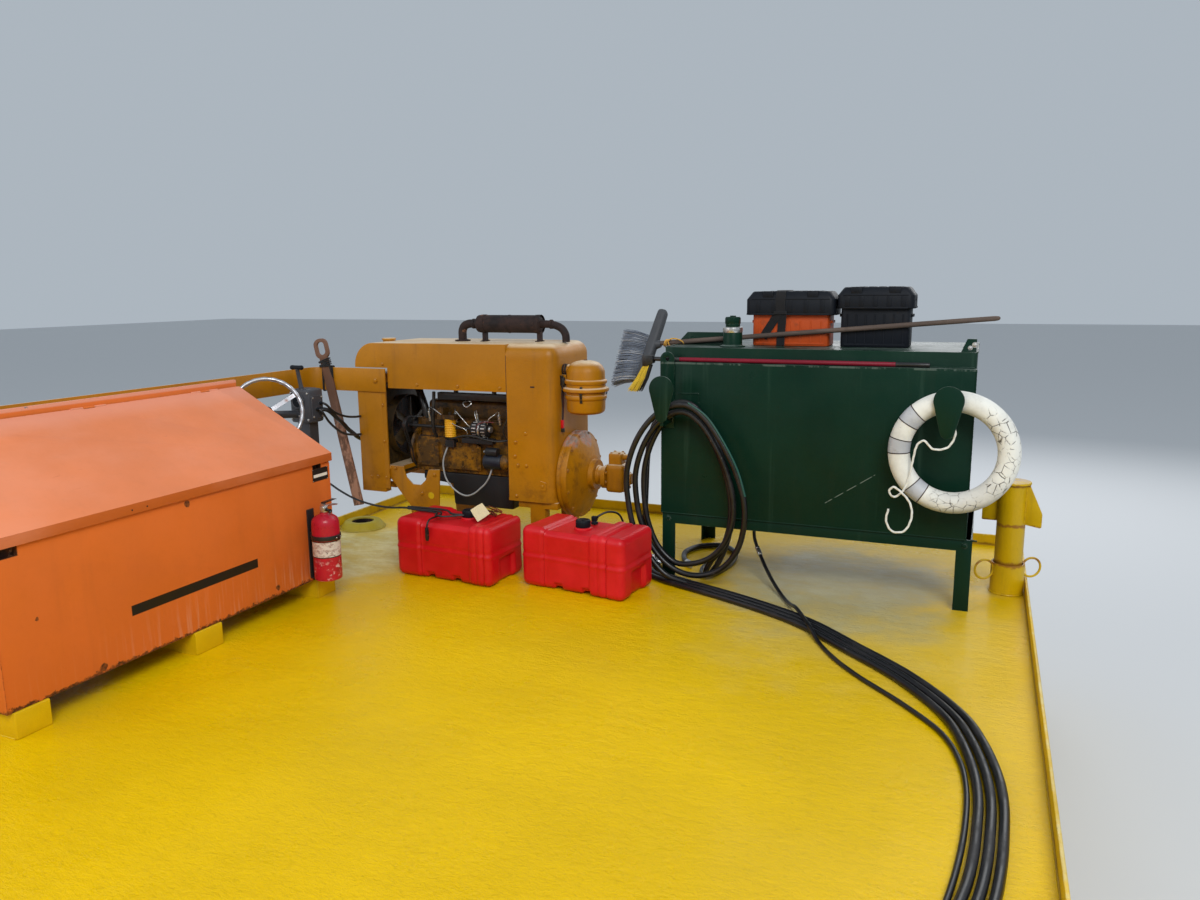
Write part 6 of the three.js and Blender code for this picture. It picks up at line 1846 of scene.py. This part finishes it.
def tank_pipes():
    kit = Kit()
    kit.wire(mm("949 3360 336, 1030 3350 347, 1100 3352 360, 1188 3360 360"), 30, 0.011, 14)
    kit.lathe(mm("0 0, 16 0, 19 6, 19 30, 14 36, 14 50, 0 50"), (1.072, 3.352, 0.325), UP, 24, 1)
    kit.box(1.052, 1.092, 3.334, 3.342, 0.33, 0.336, slot=1)
    kit.rod((1.072, 3.352, 0.34), (1.072, 3.326, 0.335), 0.005, 12, 1)
    kit.wire(mm("912 3345 293, 950 3338 297, 1031 3335 311"), 16, 0.007, 12, slot=0)
    kit.wire(mm("949 3360 336, 935 3352 315, 912 3345 293"), 12, 0.009, 12, slot=0)
    kit.rod((1.188, 3.36, 0.36), (1.188, 3.36, 0.3755), 0.013, 16, 1)
    kit.done("tank_drain_pipe", "black steel")
    kit = Kit()
    start = Vector((0.8, 3.4, 0.15))
    way = (Vector((0.843, 3.342, 0.1)) - start).normalized()
    kit.lathe(mm("0 -20, 10.5 -20, 13.5 -16, 13.5 22, 11 24, 0 24"), start, way, 28, 1)
    kit.hex(start - way * 0.02, -way, 0.015, 0.016, 1, False)
    kit.wire([start - way * 0.03, start - way * 0.05 + spot(0, 0, 0.004), (0.762, 3.444, 0.215),
              (0.757, 3.448, 0.26), (0.756, 3.448, 0.33), (0.756, 3.448, 0.374)], 40, 0.0095, 16)
    kit.hex((0.756, 3.448, 0.3745), DOWN, 0.019, 0.016, 1, False)
    kit.done("tank_outlet_pipe", "black steel", edge=0.0006)


def hook(node, x, z, front, arm, pad):
    """A teardrop plate on an arm from its pad on the tank."""
    outline = []
    for i in range(33):
        a = rad(-20 + 220 * i / 32)
        outline.append((x + 0.07 * cos(a), z + 0.056 + 0.07 * sin(a)))
    outline += [(x - 0.03, z - 0.11), (x - 0.012, z - 0.124), (x, z - 0.126), (x + 0.012, z - 0.124),
                (x + 0.03, z - 0.11)]
    left, right, low, high = pad
    kit = Kit()
    kit.prism(outline, "y", front - 0.008, front + 0.002)
    kit.box(x - 0.009, x + 0.009, front, LEDGE_Y - GAP, arm - 0.018, arm + 0.018)
    top = arm + high
    middle, half = x + (left + right) / 2, (right - left) / 2
    strap = [(x + left, arm + low), (x + right, arm + low), (x + right, top - half)]
    strap += [(middle + half * cos(rad(a)), top - half + half * sin(rad(a))) for a in range(10, 180, 10)]
    strap += [(x + left, top - half)]
    kit.prism(strap, "y", LEDGE_Y - 0.008, LEDGE_Y - GAP)
    bead(kit, [(x - 0.012, LEDGE_Y - 0.009, arm - 0.02), (x + 0.012, LEDGE_Y - 0.009, arm - 0.02)], 0.004)
    bead(kit, [(x - 0.012, LEDGE_Y - 0.009, arm + 0.02), (x + 0.012, LEDGE_Y - 0.009, arm + 0.02)], 0.004)
    hole = Kit()
    hole.lathe(mm("0 -50, 11 -50, 11 50, 0 50"), (middle, LEDGE_Y, top - half), FORE, 24)
    cuts = [hole] if high > 0.2 else []
    kit.done(node + "_plate", "green", bevel=0.0022, replaces=node, cuts=cuts)


def filler_neck():
    kit = Kit()
    neck = (0.622, 3.41, TANK_TOP)
    kit.lathe(mm("0 0, 70 0, 70 6, 57 10, 53 14, 53 80, 0 80"), neck, count=56)
    kit.lathe(mm("0 79, 54.5 79, 54.5 106, 50 109, 0 109"), neck, count=56, slot=1)
    octagon = [(0.0435 * cos(pi / 4 * i + 0.39), 0.0435 * sin(pi / 4 * i + 0.39)) for i in range(8)]
    at = Vector(neck)
    kit.lathe(mm("0 108, 40 108, 40 130, 0 130"), neck, count=40)
    cap = (0.97, 0.126), (1, 0.129), (1, 0.156), (0.9, 0.164)
    kit.rings([[at + spot(u * k, v * k, h) for u, v in octagon] for k, h in cap])
    kit.lathe(mm("0 163, 18 163, 17 171, 0 171.5"), neck, count=6)
    kit.done("filler_neck_pipe", "green steel", bevel=0.0012, replaces="filler_neck")


# Battery boxes with their lids: side, look and body, middle, half widths of box and lid, heights of box and
# lid. The starboard lid lifts off.
BATTERY_Y = 3.64
BATTERIES = [
    ("port", "orange_plastic", "barge", 0.911, 0.211, 0.245, 0.19, 0.3),
    ("starboard", "black_plastic", "battery_lid", 1.362, 0.1785, 0.198, 0.226, 0.32),
]


def rounded(across, back, corner):
    """A rectangle with round corners."""
    found = []
    for k, (cx, cy) in enumerate(((1, 1), (-1, 1), (-1, -1), (1, -1))):
        for i in range(6):
            a = rad(90 * k + 18 * i)
            found.append((cx * (across - corner) + corner * cos(a), cy * (back - corner) + corner * sin(a)))
    return found


def battery(side, look, body, x, half, lid_half, h, top):
    """A battery box with its ribs, and its lid with sloping upper edges, ribs and grips."""
    base = TANK_TOP
    refined("battery_box_" + side, look, 0.002)
    low, peak, deep = base + h - 0.0197, base + top, 0.122
    rings = [(half + 0.005, 0.106, base + h + GAP), (half + 0.005, 0.106, low),
             (lid_half - 0.003, deep - 0.003, low), (lid_half, deep, low + 0.003),
             (lid_half, deep, peak - 0.044), (lid_half - 0.027, deep - 0.019, peak - 0.006),
             (lid_half - 0.034, deep - 0.026, peak)]
    kit = Kit()
    kit.rings([[spot(x + u, BATTERY_Y + v, z) for u, v in rounded(across, back, 0.03)]
               for across, back, z in rings])
    for share in (-0.5, 0.5):
        u = x + share * lid_half
        kit.box(u - 0.029, u + 0.029, BATTERY_Y - 0.1175, BATTERY_Y - 0.08, peak - 0.034, peak + 0.0015)
        kit.box(u - 0.029, u + 0.029, BATTERY_Y + 0.08, BATTERY_Y + 0.1175, peak - 0.034, peak + 0.0015)
    kit.done("battery_lid_shell_" + side, "black_plastic", body, bevel=0.003, replaces="battery_lid_" + side)
    kit = Kit()
    for way in (-1, 1):
        y = BATTERY_Y + way * 0.1
        for i in range(7):
            u = x + (i - 3) * half * 0.27
            kit.box(u - 0.004, u + 0.004, y - way * 0.002, y + way * 0.003, base + 0.02,
                    base + h - 0.05)
        kit.box(x - half + 0.02, x + half - 0.02, y - way * 0.002, y + way * 0.003, base + 0.01,
                base + 0.02)
        end = x + way * half
        kit.box(end - way * 0.002, end + way * 0.012, BATTERY_Y - 0.05, BATTERY_Y + 0.05,
                base + h - 0.065, base + h - 0.05)
    kit.done("battery_ribs_" + side, look, edge=0.001)
    kit = Kit()
    z = base + top
    kit.moulded((x - lid_half + 0.035, BATTERY_Y - 0.088, z - 0.01),
                (x + lid_half - 0.035, BATTERY_Y + 0.088, z + 0.0002), 0.0045, 0.02)
    skirt = base + h - 0.0195
    for way in (-1, 1):
        y = BATTERY_Y + way * 0.122
        kit.box(x - lid_half + 0.03, x + lid_half - 0.03, y - way * 0.003, y + way * 0.0035, skirt,
                skirt + 0.01)
        kit.box(x - lid_half + 0.03, x + lid_half - 0.03, y - way * 0.003, y + way * 0.002,
                z - 0.045, z - 0.04)
        for i in range(5):
            u = x + (i - 2) * lid_half * 0.36
            kit.box(u - 0.012, u + 0.012, y - way * 0.003, y + way * 0.0025, skirt + 0.012,
                    z - 0.046)
        end = x + way * lid_half
        kit.box(end - way * 0.003, end + way * 0.0035, BATTERY_Y - 0.088, BATTERY_Y + 0.088, skirt,
                skirt + 0.01)
        kit.box(end - way * 0.004, end + way * 0.003, BATTERY_Y - 0.035, BATTERY_Y + 0.035,
                z - 0.075, z - 0.05)
    for i in range(4):
        u = x + (i - 1.5) * 0.05
        kit.box(u - 0.015, u + 0.015, BATTERY_Y - 0.07, BATTERY_Y + 0.07, z - 0.002, z + 0.0025)
    kit.done("battery_lid_ribs_" + side, "black_plastic", body, bevel=0.0012)


def battery_strap():
    kit = Kit()
    x, near, far = 0.86, BATTERY_Y - 0.126, BATTERY_Y + 0.126
    over = [(x + 0.002, near, 1.485), (x, near - 0.001, 1.53), (x, near, 1.567), (x, near + 0.019, 1.608),
            (x, near + 0.03, 1.614)]
    over += [(x, y, 1.615) for y in (3.58, 3.64, 3.7)]
    over += [(x, far - 0.03, 1.614), (x, far - 0.019, 1.608), (x, far, 1.567), (x, far, 1.485)]
    ribbon(kit, over, ACROSS, 0.052, 0.003)
    ribbon(kit, [(0.848, near, 1.49), (0.822, 3.531, 1.45), (0.78, 3.533, 1.385), (0.764, 3.534, 1.355)],
           (0.86, 0, -0.5), 0.045, 0.003)
    ribbon(kit,
           [(0.872, near - 0.001, 1.49), (0.869, 3.53, 1.44), (0.863, 3.531, 1.36), (0.862, 3.532, 1.313)],
           (1, 0, 0.04), 0.045, 0.003)
    ribbon(kit, [(x, far, 1.49), (x, 3.748, 1.44), (x, 3.746, 1.313)], ACROSS, 0.05, 0.003)
    kit.box(x - 0.034, x + 0.034, near - 0.006, near + 0.001, 1.486, 1.502)
    kit.done("battery_strap", "webbing", edge=0.0006)


def push_broom():
    start, end = Vector((0.11, 3.5257, 1.3106)), Vector((1.976, 3.5257, 1.47))
    kit = Kit()
    sizes = [0.0118, 0.014, 0.014, 0.0138, 0.0135, 0.0135, 0.013, 0.0105, 0.004]
    shares = [-0.012, 0.0, 0.02, 0.3, 0.6, 0.9, 0.985, 0.996, 0.9995]
    kit.tube([start.lerp(end, s) for s in shares], sizes, 20)
    kit.done("push_broom_handle", "wood")
    place = turned(start, (8, "Y"), (-32, "X"))
    kit = Kit()
    kit.moulded((-0.032, -0.034, -0.262), (0.032, 0.034, 0.232), 0.024, 0.012,
                lambda p, n: -0.004 * (abs(p.z) / 0.247) ** 4, place)
    kit.lathe(mm("0 0, 30 0, 26 12, 19 30, 0 30"), place @ spot(0.022, 0, 0.0), (end - start), 28)
    kit.done("push_broom_block", "block", angle=60, replaces="push_broom")
    kit = Kit()
    for i in range(30):
        for j in range(5):
            share = i / 29
            root = spot(-0.026, -0.022 + 0.011 * j, -0.244 + 0.286 * share)
            for _ in range(8):
                reach = 0.142 + 0.026 * share - 0.022 * rng.random()
                tip = spot(root.x - reach, root.y * 1.3 + rng.uniform(-0.009, 0.009),
                           -0.296 + 0.34 * share + rng.uniform(-0.01, 0.01))
                mid = root.lerp(tip, 0.55)
                mid += spot(-0.004, rng.uniform(-0.003, 0.003), 0.007 + rng.uniform(-0.002, 0.002))
                kit.tube([place @ root, place @ mid, place @ tip], [0.0018, 0.0016, 0.001], 4,
                         slot=int(rng.random() < 0.1))
    kit.done("push_broom_bristles", "bristle tape", angle=80)
    kit = Kit()
    for k, x in enumerate((0.19, 0.204, 0.219)):
        at = start.lerp(end, (x - 0.11) / 1.866)
        ring = [at + spot(0.006 * sin(a + k), 0.0185 * cos(a), 0.0185 * sin(a)) for a in
                [2 * pi * i / 20 for i in range(20)]]
        kit.tube(ring, 0.0038, 10, closed=True, lobes=3, twist=0.3)
    loop = spline(mm("205 3507 1327, 240 3500 1345, 290 3503 1335, 303 3515 1320, 300 3532 1313.5, "
                     "262 3534 1313.5, 222 3532 1315"), 60)
    kit.tube(loop, 0.0038, 10, lobes=3, twist=0.3)
    kit.done("broom_lashing", "twine", angle=60)


def deck_broom():
    y, z = 3.262, 1.2453
    kit = Kit()
    kit.rod((0.2, y, z), (0.363, y, z), 0.0125, 20, 1)
    kit.rod((0.3625, y, z), (1.503, y, z), 0.0121, 20, 0)
    kit.lathe(mm("0 0, 12.5 0, 12.5 160, 9 163.5, 0 164"), (1.503, y, z), ACROSS, 24, 1)
    head = [(0.15, z + 0.02), (0.21, z + 0.02), (0.214, z - 0.022), (0.18, z - 0.04), (0.15, z - 0.04)]
    kit.prism(head, "y", 3.24, 3.284, slot=1)
    kit.done("deck_broom_pole", "crimson cable", bevel=0.002, replaces="deck_broom")
    kit = Kit()
    for _ in range(150):
        share = rng.random()
        root = spot(0.154 + 0.05 * share, rng.uniform(3.244, 3.28), z - 0.034)
        tip = spot(0.062 + 0.078 * share + rng.uniform(-0.008, 0.008), root.y + rng.uniform(-0.006, 0.006),
                   1.056 + 0.016 * rng.random())
        kit.tube([root, root.lerp(tip, 0.5) + spot(0.006, 0, 0), tip], [0.0017, 0.0015, 0.001], 4,
                 slot=int(share > 0.72))
    kit.done("deck_broom_bristles", "bristle_yellow cable", angle=80)


def life_ring():
    centre, radius, tube = Vector((1.8, 3.118, 0.838)), 0.25, 0.052
    kit = Kit()

    def at(angle):
        return centre + spot(radius * cos(rad(angle)), 0, radius * sin(rad(angle)))

    kit.tube([at(a) for a in range(0, 360, 3)], tube, 40, closed=True)
    kit.done("life_ring_skin", "foam", angle=80, replaces="life_ring")
    kit = Kit()
    for middle in (140, 175, 231):
        for low, high, grow, slot in ((-7.6, 7.6, 0.001, 0), (-8.4, -7.3, 0.0014, 1), (7.3, 8.4, 0.0014, 1)):
            steps = 6 if slot == 0 else 2
            line = [at(middle + low + (high - low) * i / (steps - 1)) for i in range(steps)]
            kit.tube(line, tube + grow, 40, slot=slot)
    kit.done("life_ring_tape", "tape stripe", angle=60)


def make_stage():
    """The floor at the waterline, the sky and three lamps."""
    corners = [(-60, -60, WATERLINE), (60, -60, WATERLINE), (60, 60, WATERLINE), (-60, 60, WATERLINE)]
    mesh = bpy.data.meshes.new("floor")
    mesh.from_pydata(corners, [], [(0, 1, 2, 3)])
    floor = bpy.data.objects.new("floor", mesh)
    bpy.context.scene.collection.objects.link(floor)
    s = Shader("floor_pale")
    s.out.inputs["Base Color"].default_value = (0.62, 0.63, 0.64, 1)
    s.out.inputs["Roughness"].default_value = 0.9
    mesh.materials.append(s.material)
    world = bpy.data.worlds.new("studio")
    world.use_nodes = True
    world.node_tree.nodes["Background"].inputs["Color"].default_value = (0.8, 0.9, 1.0, 1)
    world.node_tree.nodes["Background"].inputs["Strength"].default_value = 0.52
    bpy.context.scene.world = world
    for name, place, aim, size, power in (
        ("key", (5, -5, 9), (0, 1, 1), 5, 800),
        ("fill", (-6, -4, 6), (0, 1, 1), 7, 210),
        ("back", (2, 11, 7), (0, 2, 1), 7, 360),
    ):
        data = bpy.data.lights.new(name, "AREA")
        data.size, data.energy = size, power
        lamp = bpy.data.objects.new(name, data)
        lamp.location = place
        lamp.rotation_mode = "QUATERNION"
        lamp.rotation_quaternion = (Vector(place) - Vector(aim)).to_track_quat("Z", "Y")
        bpy.context.scene.collection.objects.link(lamp)
    bpy.context.scene.view_settings.view_transform = "Standard"


# The order of the pieces is that of the random draws as well.
for build in (deck_hoses, hose_coil, second_loop, hose_tails, plain_cords, jumper):
    build()
for row in BOLLARDS:
    bollard(*row)
for build in (socket, hull_welds, hose_manifold, chest_runners, tool_chest, extinguisher, engine_hood,
              engine_cowl, air_cleaner, bell_and_pump, muffler, engine_block, engine_wire, radiator,
              fan_and_supports, helm, guard, helm_wires):
    build()
for row in RED_TANKS:
    fuel_tank(*row)
for build in (fuel_connector, green_tank, tank_pipes):
    build()
hook("hook_port", 0.326, 1.045, 3.064, 0.9155, (-0.064, 0.018, -0.05, 0.374))
hook("hook_starboard", 1.77, 1.04, 3.05, 1.0135, (-0.034, 0.034, -0.05, 0.11))
filler_neck()
for row in BATTERIES:
    battery(*row)
for build in (battery_strap, push_broom, deck_broom, life_ring):
    build()
nodes["hull"].data.materials.clear()
nodes["hull"].data.materials.append(LOOK["deck"])
make_stage()
